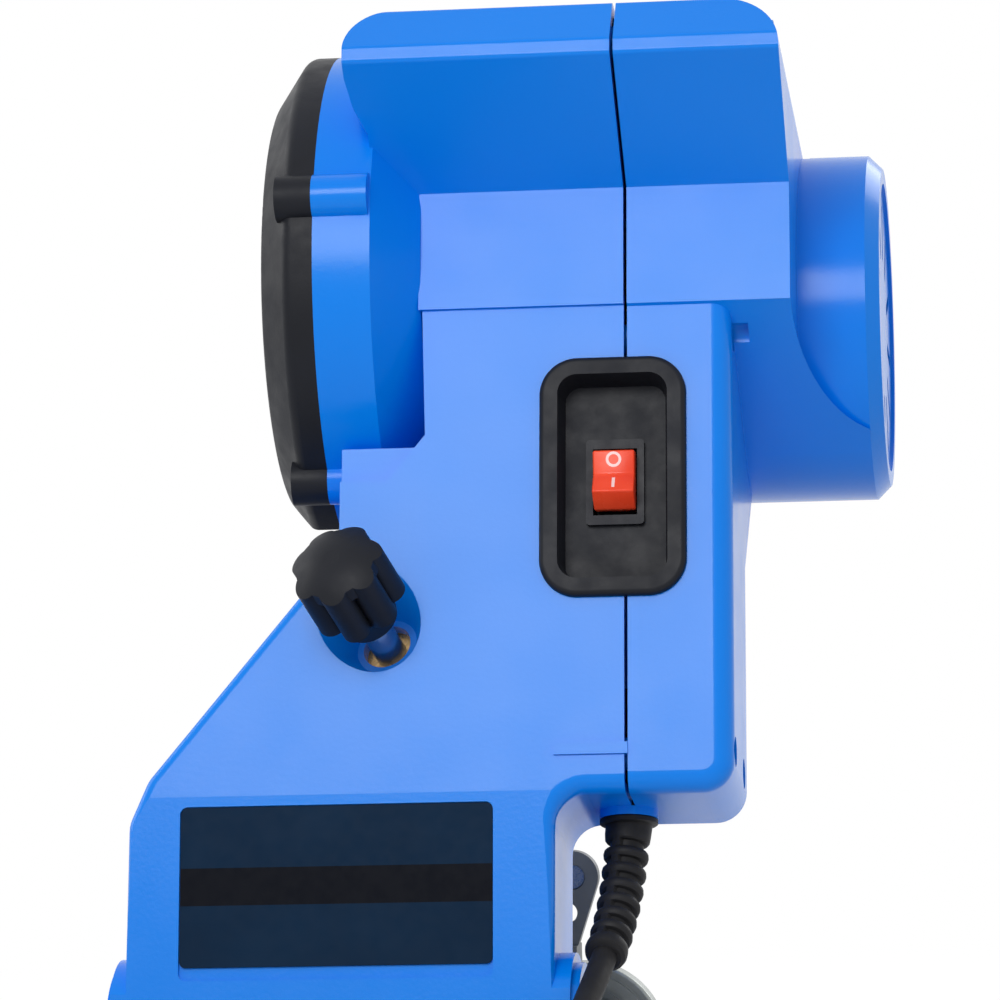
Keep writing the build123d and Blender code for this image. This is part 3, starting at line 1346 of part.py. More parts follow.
ring_thick = 1.2
with BuildPart() as hinge_pin:
    pin_start = left_boss_x - slip - ring_thick - 1.6
    pin_stop = right_boss_x + slip + ring_thick + 1.6
    with BuildSketch(across(pin_start)):
        Circle(pin_radius)
    extrude(amount=pin_stop - pin_start)
    chamfer(hinge_pin.edges().filter_by(GeomType.CIRCLE), 0.8)
keep(hinge_pin.part, "hinge_pin")

with BuildPart() as pin_rings:
    for x in (left_boss_x - slip - ring_thick, right_boss_x + slip):
        with BuildSketch(across(x)):
            Circle(pin_radius + 3.2)
            Circle(pin_radius, mode=Mode.SUBTRACT)
        extrude(amount=ring_thick)
keep(pin_rings.part, "pin_rings")


def upright(y, x=0.0, z=0.0):
    """Plane square to Y: local x is X, local y is Z, normal towards -Y."""
    return Plane(origin=(x, y, z), x_dir=(1, 0, 0), z_dir=(0, -1, 0))


def sideways(x, y=0.0, z=0.0):
    """Plane square to X: local x is Y, local y is Z, normal +X."""
    return Plane(origin=(x, y, z), x_dir=(0, 1, 0), z_dir=(1, 0, 0))


spring_pitch = 2 * spring_wire + 0.6
spring_start_x = (lug_left[1] + lug_right[0] - spring_turns * spring_pitch) / 2
spring_plane = Plane(origin=(spring_start_x, hinge_y, hinge_height), x_dir=(0, -1, 0), z_dir=(1, 0, 0))
spring_turns_line = Helix(pitch=spring_pitch, height=spring_turns * spring_pitch, radius=spring_radius)
with BuildPart() as return_spring:
    with BuildLine() as coil_line:
        add(spring_plane.location * spring_turns_line)
    with BuildSketch(Plane(origin=coil_line.line @ 0, z_dir=coil_line.line % 0)):
        Circle(spring_wire)
    sweep()
    with Locations(coil_line.line @ 0, coil_line.line @ 1):
        Sphere(spring_wire + 0.05)
    # one leg runs up the inside of the arm, the other down to the cross wall of the base
    with BuildSketch(Plane(origin=coil_line.line @ 0, z_dir=(0, 0, 1))):
        Circle(spring_wire)
    extrude(amount=spring_leg)
    with BuildSketch(Plane(origin=coil_line.line @ 1, z_dir=(0, 0, -1))):
        Circle(spring_wire)
    extrude(amount=hinge_height - cross_wall_top)
keep(return_spring.part, "return_spring")

# ---------------------------------------------------------------- base
base_middle = ((base_left + base_right) / 2, (hinge_y - base_back + base_front) / 2)
base_depth = base_front - hinge_y + base_back
# where the tip of the depth screw comes down, with the head fully lowered
tip_v = knob_v + (screw_tip_u - near_u) * tan(radians(screw_lean_v))
tip_x = knob_x + (screw_tip_u - near_u) * tan(radians(screw_lean_x))
stop_y = hinge_y + screw_tip_u * cos(full_tilt) + tip_v * sin(full_tilt)
tip_z = hinge_height + tip_v * cos(full_tilt) - screw_tip_u * sin(full_tilt)
lean = Vector(tan(radians(screw_lean_x)), cos(full_tilt) + tan(radians(screw_lean_v)) * sin(full_tilt),
              tan(radians(screw_lean_v)) * cos(full_tilt) - sin(full_tilt)).normalized()
tip_chamfer = 1.4
stop_top = tip_z - (screw_radius - tip_chamfer) * sqrt(1 - lean.Z ** 2) - stop_gap

with BuildPart() as base_casting:
    with BuildSketch(Plane.XY):
        with Locations(base_middle):
            RectangleRounded(base_right - base_left, base_depth, base_corner)
    extrude(amount=base_thickness)
    fillet(base_casting.faces().sort_by(Axis.Z)[-1].edges(), 1.5)
    for lug in (lug_left, lug_right):
        with BuildSketch(sideways(lug[0])):
            with Locations((hinge_y, hinge_height)):
                Circle(lug_radius)
            with Locations((hinge_y, base_thickness)):
                Rectangle(2.6 * lug_radius, 2.0)
            make_hull()
        extrude(amount=lug[1] - lug[0])
    with BuildSketch(sideways(lug_left[1] - 1)):
        with Locations((hinge_y, (base_thickness - 1 + cross_wall_top) / 2)):
            Rectangle(cross_wall, cross_wall_top - base_thickness + 1)
    extrude(amount=lug_right[0] - lug_left[1] + 2)
    # tower of the vise with its split ears
    with BuildSketch(Plane.XY.offset(base_thickness - 1)):
        Circle(tower_radius)
    extrude(amount=tower_top - base_thickness + 1)
    with BuildSketch(sideways(tower_radius - 6)):
        with Locations((0, lock_z)):
            RectangleRounded(2 * ear_half, 2 * ear_rise, 5.0)
    extrude(amount=ear_end - tower_radius + 6)
    # post of the depth stop
    with BuildSketch(Plane.XY.offset(base_thickness - 1)):
        with Locations((tip_x, stop_y)):
            Circle(post_radius + 3)
    with BuildSketch(Plane.XY.offset(stop_top)):
        with Locations((tip_x, stop_y)):
            Circle(post_radius)
    loft()
    # ribs from the tower to the hinge
    for x in (-18.0, 18.0):
        with BuildSketch(sideways(x - rib_thick / 2)):
            outline([(hinge_y, base_thickness - 1), (hinge_y, cross_wall_top - 8),
                     (-tower_radius + 8, cross_wall_top), (-tower_radius + 8, base_thickness - 1)])
        extrude(amount=rib_thick)
    with BuildSketch(Plane.XY.offset(pivot_floor)):
        Circle(pivot_radius + running)
    extrude(amount=tower_top, mode=Mode.SUBTRACT)
    with BuildSketch(Plane.XY.offset(pivot_floor)):
        with Locations((ear_end, 0)):
            Rectangle(2 * ear_end, ear_slit)
    extrude(amount=tower_top, mode=Mode.SUBTRACT)
    with BuildSketch(upright(-ear_half - 1, lock_x, lock_z)):
        Circle(lock_screw_radius + slip)
    extrude(amount=-(2 * ear_half + 2), mode=Mode.SUBTRACT)
    with BuildSketch(sideways(lug_left[0] - 1, hinge_y, hinge_height)):
        Circle(pin_radius)
    extrude(amount=lug_right[1] - lug_left[0] + 2, mode=Mode.SUBTRACT)
    with BuildSketch(Plane.XY):
        with Locations((base_middle[0], bench_hole_middle_y)):
            with GridLocations(bench_hole_x, bench_hole_y, 2, 2):
                Circle(bench_hole_radius)
    extrude(amount=base_thickness, mode=Mode.SUBTRACT)
keep(base_casting.part, "base_casting")

with BuildPart() as lock_nut:
    with BuildSketch(upright(-ear_half, lock_x, lock_z)):
        RegularPolygon(5.0, 6, major_radius=False)
        Circle(lock_screw_radius + running, mode=Mode.SUBTRACT)
    extrude(amount=5.0)
keep(lock_nut.part, "lock_nut")

lock_hub_y = ear_half + slip
lock_hub_radius = 8.0
groove_depth = 0.8
lock_wheel_y = 16.0
with BuildPart() as lock_screw:
    with BuildSketch(upright(-ear_half - 6.5, lock_x, lock_z)):
        Circle(lock_screw_radius)
    extrude(amount=-(lock_wheel_y + lock_wheel_width + ear_half + 6.5 - 3))
keep(lock_screw.part, "lock_screw")

with BuildPart() as lock_wheel:
    with BuildSketch(upright(lock_hub_y, lock_x, lock_z)):
        Circle(lock_hub_radius)
    extrude(amount=-(lock_wheel_y - lock_hub_y + 1))
    with BuildSketch(upright(lock_wheel_y, lock_x, lock_z)):
        Circle(lock_wheel_radius)
    extrude(amount=-lock_wheel_width)
    fillet(lock_wheel.edges().filter_by(GeomType.CIRCLE).group_by(SortBy.RADIUS)[-1], 1.0)
    # turned grooves in both faces, and a dished middle
    for face_y, depth in ((lock_wheel_y, -groove_depth), (lock_wheel_y + lock_wheel_width, groove_depth)):
        with BuildSketch(upright(face_y, lock_x, lock_z)):
            for radius in (lock_wheel_radius - 2.2, lock_wheel_radius - 6.2):
                Circle(radius)
                Circle(radius - 0.9, mode=Mode.SUBTRACT)
        extrude(amount=depth, mode=Mode.SUBTRACT)
        with BuildSketch(upright(face_y, lock_x, lock_z)):
            Circle(lock_wheel_radius - 9.0)
            Circle(lock_hub_radius + 1.0, mode=Mode.SUBTRACT)
        extrude(amount=2 * depth, mode=Mode.SUBTRACT)
    with BuildSketch(upright(lock_hub_y, lock_x, lock_z)):
        Circle(lock_screw_radius)
    extrude(amount=-(lock_wheel_y + lock_wheel_width - lock_hub_y - 3), mode=Mode.SUBTRACT)
keep(lock_wheel.part, "lock_wheel")

# ---------------------------------------------------------------- vise
table_under = tower_top + slip
table_over = table_under + table_thickness
with BuildPart() as turntable:
    with BuildSketch(Plane.XY.offset(table_under)):
        Circle(table_radius)
        with Locations((bracket_x - bracket_lean + bracket_foot, bracket_y)):
            Rectangle(28.0, 14.0, align=(Align.MAX, Align.CENTER))
    extrude(amount=table_thickness)
    with BuildSketch(Plane.XY.offset(pivot_floor + slip)):
        Circle(pivot_radius)
    extrude(amount=table_under - pivot_floor - slip + 1)
keep(turntable.part, "turntable")

jaw_under = jaw_top - jaw_height - 6.0
jaw_y = chain_slot / 2
with BuildPart() as vise_block:
    with BuildSketch(Plane.XY.offset(table_over)):
        with Locations((0, -2.0)):
            Rectangle(block_length, block_width)
    extrude(amount=jaw_under - table_over)
    chamfer(vise_block.edges().filter_by(Axis.Z), 3.0)
keep(vise_block.part, "vise_block")

with BuildPart() as fixed_jaw:
    with BuildSketch(upright(-jaw_y)):
        with Locations((0, (jaw_under + jaw_top) / 2)):
            Rectangle(2 * jaw_half_length, jaw_top - jaw_under)
    extrude(amount=jaw_thickness)
    chamfer(fixed_jaw.edges().filter_by(Axis.X).sort_by(Axis.Y)[:2].sort_by(Axis.Z)[-1], 5.0)
    with BuildSketch(upright(1)):
        with Locations((-guide_x, clamp_z + 2), (guide_x, clamp_z + 2)):
            Circle(guide_radius)
        with Locations((0, clamp_z)):
            Circle(clamp_radius + running)
    extrude(amount=jaw_thickness + 4, mode=Mode.SUBTRACT)
keep(fixed_jaw.part, "fixed_jaw")

with BuildPart() as moving_jaw:
    with BuildSketch(upright(jaw_y)):
        with Locations((0, (jaw_under + slip + jaw_top) / 2)):
            Rectangle(2 * jaw_half_length, jaw_top - jaw_under - slip)
    extrude(amount=-jaw_thickness)
    chamfer(moving_jaw.edges().filter_by(Axis.X).sort_by(Axis.Y)[-2:].sort_by(Axis.Z)[-1], 5.0)
    with BuildSketch(upright(-1)):
        with Locations((-guide_x, clamp_z + 2), (guide_x, clamp_z + 2)):
            Circle(guide_radius + running)
        with Locations((0, clamp_z)):
            Circle(clamp_radius + slip)
    extrude(amount=-(jaw_thickness + 4), mode=Mode.SUBTRACT)
keep(moving_jaw.part, "moving_jaw")

with BuildPart() as guide_pins:
    with BuildSketch(upright(-jaw_y - jaw_thickness + 1)):
        with Locations((-guide_x, clamp_z + 2), (guide_x, clamp_z + 2)):
            Circle(guide_radius)
    extrude(amount=-(2 * jaw_y + 2 * jaw_thickness + jaw_opening))
keep(guide_pins.part, "guide_pins")

scale_width = 8.0
scale_thick = 0.6
lever_y = jaw_y + jaw_thickness + slip + 7.0
lever_length = 26.0
lever_thick = 6.0
with BuildPart() as clamp_screw:
    with BuildSketch(upright(-jaw_y - jaw_thickness, 0, clamp_z)):
        Circle(clamp_radius)
    extrude(amount=-(lever_y + lever_thick + jaw_y + jaw_thickness - 1.5))
keep(clamp_screw.part, "clamp_screw")

with BuildPart() as clamp_lever:
    with BuildSketch(upright(jaw_y + jaw_thickness + slip, 0, clamp_z)):
        Circle(7.0)
    extrude(amount=-8.0)
    with BuildSketch(upright(lever_y, 0, clamp_z)):
        Circle(8.0)
        with Locations((0, -lever_length + 4.5)):
            Circle(4.5)
        make_hull()
    extrude(amount=-lever_thick)
    with BuildSketch(upright(0, 0, clamp_z)):
        Circle(clamp_radius)
    extrude(amount=-(lever_y + lever_thick - 1.5), mode=Mode.SUBTRACT)
    fillet(clamp_lever.edges().sort_by(Axis.Y)[-2:], 1.2)
keep(clamp_lever.part, "clamp_lever")

with BuildPart() as angle_scale:
    with BuildSketch(Plane.XY.offset(table_over)):
        Circle(table_radius - 1.0)
        Circle(table_radius - 1.0 - scale_width, mode=Mode.SUBTRACT)
        with Locations((0, block_width / 2 + 2.0)):
            Rectangle(3 * table_radius, 3 * table_radius, align=(Align.CENTER, Align.MAX),
                      mode=Mode.SUBTRACT)
    extrude(amount=scale_thick)
keep(angle_scale.part, "angle_scale")

pointer_x = 3.0
with BuildPart() as angle_pointer:
    with BuildSketch(sideways(-pointer_x)):
        outline([(tower_radius - 1.2, 44.0), (table_radius + 4, 44.0), (table_radius + 4, table_over + 2),
                 (table_radius + 1, table_over + 2), (table_radius + 1, 47.0), (tower_radius - 1.2, 47.0)])
    extrude(amount=2 * pointer_x)
    with BuildSketch(Plane.XY.offset(40.0)):
        Circle(tower_radius)
    extrude(amount=10.0, mode=Mode.SUBTRACT)
keep(angle_pointer.part, "angle_pointer")

# ---------------------------------------------------------------- chain stop
bracket_low_hole_z = bracket_hole_z - 10.0
pin_head_radius = 3.3
pin_head = 1.5
pin_end = 1.5             # riveted end behind the pawl
with BuildPart() as stop_bracket:
    with BuildSketch(upright(bracket_y - bracket_thickness / 2, bracket_x, 0)):
        with Locations((0, bracket_hole_z)):
            Circle(bracket_radius)
        with Locations((-bracket_lean, table_over + 1)):
            Rectangle(2 * bracket_foot, 2.0)
        make_hull()
        with Locations((0, bracket_hole_z)):
            Circle(bracket_pin_radius, mode=Mode.SUBTRACT)
        with Locations((-bracket_lean / 2, bracket_low_hole_z)):
            Circle(2.9, mode=Mode.SUBTRACT)
    extrude(amount=-bracket_thickness)
    # the pin's head sits in a counterbore
    with BuildSketch(upright(bracket_y - bracket_thickness / 2, bracket_x, bracket_hole_z)):
        Circle(pin_head_radius + slip)
    extrude(amount=-2 * pin_head, mode=Mode.SUBTRACT)
keep(stop_bracket.part, "stop_bracket")

pawl_y = bracket_y + bracket_thickness / 2 + slip
pawl_thick = 4.0
with BuildPart() as pawl_pin:
    pin_seat_y = bracket_y - bracket_thickness / 2 + 2 * pin_head
    with BuildSketch(upright(pin_seat_y - pin_head, bracket_x, bracket_hole_z)):
        Circle(pin_head_radius)
    extrude(amount=-pin_head)
    with BuildSketch(upright(pin_seat_y - pin_head, bracket_x, bracket_hole_z)):
        Circle(bracket_pin_radius)
    extrude(amount=-(pawl_y + pawl_thick + slip + pin_end - pin_seat_y + pin_head))
    with BuildSketch(upright(pawl_y + pawl_thick + slip, bracket_x, bracket_hole_z)):
        Circle(bracket_pin_radius + 1.6)
    extrude(amount=-pin_end)
keep(pawl_pin.part, "pawl_pin")

pawl_rise = jaw_top + slip + 0.3
pawl_x = bracket_x - 8.5  # the pawl's upright stands inside the bracket
with BuildPart() as chain_pawl:
    with BuildSketch(upright(pawl_y)):
        with Locations((bracket_x, bracket_hole_z)):
            Circle(bracket_radius - 0.6)
        outline([(bracket_x - 6.0, bracket_hole_z), (pawl_x - 4.5, bracket_hole_z + 14),
                 (pawl_x - 4.5, pawl_rise + 4), (pawl_x + 1.5, pawl_rise + 6.5),
                 (pawl_x + 4.0, bracket_hole_z + 12), (bracket_x - 0.6, bracket_hole_z + 6.2)])
    extrude(amount=-pawl_thick)
    with BuildSketch(Plane.XY.offset(pawl_rise)):
        outline([(pawl_x, pawl_y), (pawl_x, pawl_y + pawl_thick), (24.0, 2.0), (pawl_tip_x, 1.4),
                 (pawl_tip_x, -1.4), (25.0, -2.6), (pawl_x - 5, pawl_y)])
    extrude(amount=4.0)
    with BuildSketch(upright(0, bracket_x, bracket_hole_z)):
        Circle(bracket_pin_radius + running)
    extrude(amount=40, mode=Mode.SUBTRACT)
keep(chain_pawl.part, "chain_pawl")

# ---------------------------------------------------------------- mains lead
coil_middle = (-16.0, -270.0)
coil_outer = 46.0
coil_inner = 26.5
coil_rise = 18.2
coil_turn_radius = coil_outer - 3.6         # middle of the outermost turn


def turn_radii(points):
    """Arc radius at each corner of a route: 0.45 of the shorter run over the tangent of half the turn."""
    radii = []
    for before, corner, after in zip(points, points[1:], points[2:]):
        run_in = Vector(*corner) - Vector(*before)
        run_out = Vector(*after) - Vector(*corner)
        turn = radians(run_in.get_angle(run_out))
        radii.append(0.45 * min(run_in.length, run_out.length) / tan(turn / 2))
    return radii


plug_length = 36.0
plug_width = 30.0
plug_thick = 14.0
plug_start = (coil_middle[0] + 32.0, coil_middle[1] - coil_turn_radius)
plug_z = plug_thick / 2
lead_end = 18.0           # from the coil to the plug

with BuildPart() as mains_cord:
    with BuildLine() as cord_line:
        FilletPolyline(*cord_route, radius=turn_radii(cord_route))
    with BuildSketch(Plane(origin=cord_line.line @ 0, z_dir=cord_line.line % 0)):
        Circle(cord_radius)
    sweep(transition=Transition.RIGHT)
    # the short end that runs from the coil into the plug
    with BuildSketch(sideways(plug_start[0] - lead_end, plug_start[1], plug_z)):
        Circle(cord_radius)
    extrude(amount=lead_end)
keep(mains_cord.part, "mains_cord")
cord_length = sum(edge.length for edge in cord_line.line.edges()) + lead_end
print("cord radii", [round(r, 1) for r in turn_radii(cord_route)])
print("cord volume", round(mains_cord.part.volume), "section times length",
      round(pi * cord_radius ** 2 * cord_length), "length", round(cord_length))

with BuildPart() as cord_coil:
    with BuildSketch(Plane.XY):
        with Locations(coil_middle):
            Circle(coil_outer)
            Circle(coil_inner, mode=Mode.SUBTRACT)
    extrude(amount=coil_rise)
    chamfer(cord_coil.edges().filter_by(GeomType.CIRCLE), 1.6)
keep(cord_coil.part, "cord_coil")

with BuildPart() as mains_plug:
    with BuildSketch(sideways(plug_start[0], plug_start[1], plug_z)):
        Circle(6.0)
    with BuildSketch(sideways(plug_start[0] + plug_length, plug_start[1], plug_z)):
        SlotOverall(plug_width, plug_thick)
    loft()
keep(mains_plug.part, "mains_plug")

with BuildPart() as plug_pins:
    with BuildSketch(sideways(plug_start[0] + plug_length, plug_start[1], plug_z)):
        with Locations((-9.5, 0), (9.5, 0)):
            Circle(2.0)
    extrude(amount=19.0)
    fillet(plug_pins.edges().sort_by(Axis.X)[-2:], 1.2)
keep(plug_pins.part, "plug_pins")
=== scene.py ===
"""Electric chainsaw sharpener: looks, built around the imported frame."""
import json
from math import cos, pi, radians, sin

import bmesh
import bpy
from mathutils import Matrix, Vector

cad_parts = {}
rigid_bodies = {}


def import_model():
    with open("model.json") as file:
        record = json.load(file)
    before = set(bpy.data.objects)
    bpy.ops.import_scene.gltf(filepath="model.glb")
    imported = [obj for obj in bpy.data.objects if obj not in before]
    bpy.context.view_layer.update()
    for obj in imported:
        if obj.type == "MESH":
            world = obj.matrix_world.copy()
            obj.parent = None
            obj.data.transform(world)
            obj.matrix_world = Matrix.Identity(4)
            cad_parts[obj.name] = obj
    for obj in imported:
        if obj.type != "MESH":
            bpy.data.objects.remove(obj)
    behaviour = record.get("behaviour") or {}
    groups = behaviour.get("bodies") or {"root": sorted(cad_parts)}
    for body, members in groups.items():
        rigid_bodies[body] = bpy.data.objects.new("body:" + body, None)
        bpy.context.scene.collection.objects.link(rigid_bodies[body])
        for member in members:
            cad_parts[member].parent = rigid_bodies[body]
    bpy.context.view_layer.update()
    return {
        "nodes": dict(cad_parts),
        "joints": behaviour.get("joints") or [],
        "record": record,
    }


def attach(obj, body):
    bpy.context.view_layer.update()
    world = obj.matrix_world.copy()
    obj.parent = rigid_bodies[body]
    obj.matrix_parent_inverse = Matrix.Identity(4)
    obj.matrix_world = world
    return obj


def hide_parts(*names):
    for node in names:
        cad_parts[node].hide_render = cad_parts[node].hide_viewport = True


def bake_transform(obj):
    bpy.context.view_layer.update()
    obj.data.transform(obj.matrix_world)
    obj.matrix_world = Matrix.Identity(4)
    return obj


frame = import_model()
nodes = frame["nodes"]
scene = bpy.context.scene

# ------------------------------------------------------------------ head directions
MM = 0.001
REST_TILT = radians(15.0)
HINGE = Vector(next(joint["pos_m"] for joint in frame["joints"] if joint["name"] == "head_tilt"))
HEAD_X = Vector((1, 0, 0))
HEAD_U = Vector((0, cos(REST_TILT), -sin(REST_TILT)))
HEAD_V = Vector((0, sin(REST_TILT), cos(REST_TILT)))


def head(x, u, v):
    """Point in the frame, in metres, from millimetres along the head's own directions."""
    return HINGE + (HEAD_X * x + HEAD_U * u + HEAD_V * v) * MM


# ------------------------------------------------------------------ camera
CAMERA_AT = Vector((0.2012, -1.4228, 0.1851))
CAMERA_FORWARD = Vector((-0.12106, 0.99264, 0.00197))
CAMERA_UP = Vector((0.02724, 0.00134, 0.99963))
CAMERA_LENS, CAMERA_SENSOR = 180.0, 36.0    # in millimetres
CAMERA_FAR = 20.0
camera_data = bpy.data.cameras.new("camera")
camera_data.lens = CAMERA_LENS
camera_data.sensor_width = CAMERA_SENSOR
camera_data.clip_end = CAMERA_FAR
camera = bpy.data.objects.new("camera", camera_data)
scene.collection.objects.link(camera)
side = CAMERA_FORWARD.cross(CAMERA_UP).normalized()
up = side.cross(CAMERA_FORWARD).normalized()
camera.matrix_world = Matrix((
    (side.x, up.x, -CAMERA_FORWARD.x, CAMERA_AT.x),
    (side.y, up.y, -CAMERA_FORWARD.y, CAMERA_AT.y),
    (side.z, up.z, -CAMERA_FORWARD.z, CAMERA_AT.z),
    (0, 0, 0, 1)))
scene.camera = camera
scene.view_settings.view_transform = "Standard"

# ------------------------------------------------------------------ rocker, in its own directions
ROCKER_PIVOT = head(75.1, -13.6, 142.0)     # where its depths and heights are counted from
ROCKER_LEAN = radians(-11.0)
ROCKER_IN = HEAD_U * cos(ROCKER_LEAN) + HEAD_V * sin(ROCKER_LEAN)
ROCKER_UP = HEAD_V * cos(ROCKER_LEAN) - HEAD_U * sin(ROCKER_LEAN)
ROCKER_VALLEY = -6.4                        # depth, in mm, of the valley between the two finger faces
ROCKER_CREST = (-8.6, 5.8)                  # depth and height of the outer edge of a finger face


def rocker_point(x, depth, height):
    """Point in the frame, in metres, from millimetres across, into and up the rocker."""
    return ROCKER_PIVOT + (HEAD_X * x + ROCKER_IN * depth + ROCKER_UP * height) * MM


# ------------------------------------------------------------------ material kit
class Shader:
    """A Principled material with its node tree close at hand."""

    def __init__(self, name, color, roughness=0.5, metallic=0.0, specular=0.5):
        self.material = bpy.data.materials.new(name)
        self.material.use_nodes = True
        self.tree = self.material.node_tree
        self.main = self.tree.nodes["Principled BSDF"]
        self.main.inputs["Base Color"].default_value = (*color, 1.0)
        self.main.inputs["Roughness"].default_value = roughness
        self.main.inputs["Metallic"].default_value = metallic
        self.main.inputs["Specular IOR Level"].default_value = specular
        self.place = self.tree.nodes.new("ShaderNodeTexCoord").outputs["Object"]

    def link(self, source, target):
        self.tree.links.new(source, target)

    def noise(self, scale, detail, roughness=0.55, stretch=None):
        """Cloudy pattern, drawn out along the axes where the stretch is below the others'."""
        node = self.tree.nodes.new("ShaderNodeTexNoise")
        node.inputs["Scale"].default_value = scale
        node.inputs["Detail"].default_value = detail
        node.inputs["Roughness"].default_value = roughness
        source = self.place
        if stretch:
            mapping = self.tree.nodes.new("ShaderNodeMapping")
            mapping.inputs["Scale"].default_value = stretch
            self.link(self.place, mapping.inputs["Vector"])
            source = mapping.outputs["Vector"]
        self.link(source, node.inputs["Vector"])
        return node.outputs["Fac"]

    def lines(self, scale, direction, distortion=0.1):
        """Bands across one direction."""
        wave = self.tree.nodes.new("ShaderNodeTexWave")
        wave.bands_direction = direction
        wave.inputs["Scale"].default_value = scale
        wave.inputs["Distortion"].default_value = distortion
        self.link(self.place, wave.inputs["Vector"])
        return wave.outputs["Fac"]

    def math(self, operation, first, second):
        """Result for two values, each a number or another node's output."""
        node = self.tree.nodes.new("ShaderNodeMath")
        node.operation = operation
        for socket, value in zip(node.inputs, (first, second)):
            if isinstance(value, (int, float)):
                socket.default_value = value
            else:
                self.link(value, socket)
        return node.outputs[0]

    def vector_math(self, operation, vector, output):
        """Result for the place on the object and a fixed vector."""
        node = self.tree.nodes.new("ShaderNodeVectorMath")
        node.operation = operation
        node.inputs[1].default_value = vector
        self.link(self.place, node.inputs[0])
        return node.outputs[output]

    def along(self, direction, origin):
        """Distance from a point along a direction."""
        level = self.vector_math("DOT_PRODUCT", direction, "Value")
        return self.math("SUBTRACT", level, origin.dot(direction))

    def between(self, value, low, high):
        """1 where the value lies between two bounds, else 0."""
        above = self.math("GREATER_THAN", value, low)
        return self.math("MULTIPLY", above, self.math("LESS_THAN", value, high))

    def ramp(self, source, low, high, start=0.35, stop=0.65):
        """A colour or grey value that runs from low to high over a stretch of the source."""
        node = self.tree.nodes.new("ShaderNodeValToRGB")
        ends = node.color_ramp.elements
        for end, position, value in ((ends[0], start, low), (ends[1], stop, high)):
            end.position = position
            end.color = (*value, 1.0) if isinstance(value, tuple) else (value, value, value, 1.0)
        self.link(source, node.inputs["Fac"])
        return node.outputs["Color"]

    def mix(self, share, first, second):
        """The first colour where share is 0, the second where it is 1."""
        node = self.tree.nodes.new("ShaderNodeMix")
        node.data_type = "RGBA"
        self.link(share, node.inputs["Factor"])
        for socket, value in zip([s for s in node.inputs if s.type == "RGBA"], (first, second)):
            if isinstance(value, tuple):
                socket.default_value = (*value, 1.0)
            else:
                self.link(value, socket)
        return next(s for s in node.outputs if s.type == "RGBA")

    def color(self, source):
        self.link(source, self.main.inputs["Base Color"])

    def vary_color(self, source, low, high, start=0.35, stop=0.65):
        self.color(self.ramp(source, low, high, start, stop))

    def vary_roughness(self, source, low, high):
        self.link(self.ramp(source, low, high), self.main.inputs["Roughness"])

    def bump(self, *layers):
        """Bump from (height source, strength, distance in metres) layers, one over the other."""
        normal = None
        for height, strength, distance in layers:
            node = self.tree.nodes.new("ShaderNodeBump")
            node.inputs["Strength"].default_value = strength
            node.inputs["Distance"].default_value = distance
            self.link(height, node.inputs["Height"])
            if normal:
                self.link(normal, node.inputs["Normal"])
            normal = node.outputs["Normal"]
        self.link(normal, self.main.inputs["Normal"])


def blue_plastic():
    """Moulded gloss with the faint orange peel that breaks up its reflections."""
    shader = Shader("housing_blue", (0.0, 0.195, 0.80), 0.2, specular=0.22)
    shader.vary_color(shader.noise(9, 2), (0.0, 0.203, 0.79), (0.0, 0.213, 0.82))
    shader.vary_roughness(shader.noise(60, 4), 0.19, 0.23)
    shader.bump((shader.noise(850, 2), 0.30, 0.00008))
    return shader.material


def black_plastic(name="black_plastic", tone=0.010, roughness=0.46, grain=1400):
    """Moulded black with a fine grain."""
    shader = Shader(name, (tone, tone, tone * 1.2), roughness, specular=0.17)
    shader.vary_color(shader.noise(30, 3), (tone * 0.8, tone * 0.9, tone * 1.3),
                      (tone * 1.1, tone * 1.25, tone * 1.8))
    shader.vary_roughness(shader.noise(120, 4), roughness - 0.06, roughness + 0.08)
    shader.bump((shader.noise(grain, 3), 0.22, 0.00012))
    return shader.material


def rubber():
    """Matt rubber of the lead, its sleeve and its plug."""
    shader = Shader("cord_rubber", (0.010, 0.010, 0.012), 0.55, specular=0.18)
    shader.vary_color(shader.noise(40, 4), (0.008, 0.008, 0.009), (0.016, 0.016, 0.018))
    shader.vary_roughness(shader.noise(200, 4), 0.48, 0.64)
    shader.bump((shader.noise(900, 3), 0.2, 0.00015))
    return shader.material


METAL_UNEVEN = 0.1          # share by which a metal's colour goes up and down


def metal(name, color, roughness, grain=(1, 1, 1)):
    """Machined metal with fine tool marks drawn out along one direction."""
    shader = Shader(name, color, roughness, 1.0)
    marks = shader.noise(1300, 3, 0.6, grain)
    shader.vary_color(shader.noise(35, 5), tuple(c * (1 - METAL_UNEVEN) for c in color),
                      tuple(min(c * (1 + METAL_UNEVEN), 1) for c in color))
    shader.vary_roughness(marks, roughness - 0.08, roughness + 0.12)
    shader.bump((marks, 0.10, 0.00006))
    return shader.material


def cast_paint():
    """Grey paint over a sand casting: pores, a soft swell and a lighter bloom."""
    shader = Shader("cast_grey", (0.16, 0.17, 0.175), 0.45, 0.25, 0.4)
    shader.vary_color(shader.noise(24, 6), (0.13, 0.14, 0.147), (0.205, 0.215, 0.22))
    shader.vary_roughness(shader.noise(90, 5), 0.38, 0.58)
    shader.bump((shader.noise(90, 4), 0.12, 0.0004), (shader.noise(650, 4), 0.3, 0.0002))
    return shader.material


def abrasive():
    """Rose grit of the grinding wheel."""
    shader = Shader("abrasive", (0.5, 0.16, 0.12), 0.9)
    shader.vary_color(shader.noise(2600, 2), (0.30, 0.085, 0.06), (0.62, 0.27, 0.22), 0.3, 0.7)
    shader.bump((shader.noise(2600, 3), 0.7, 0.0003))
    return shader.material


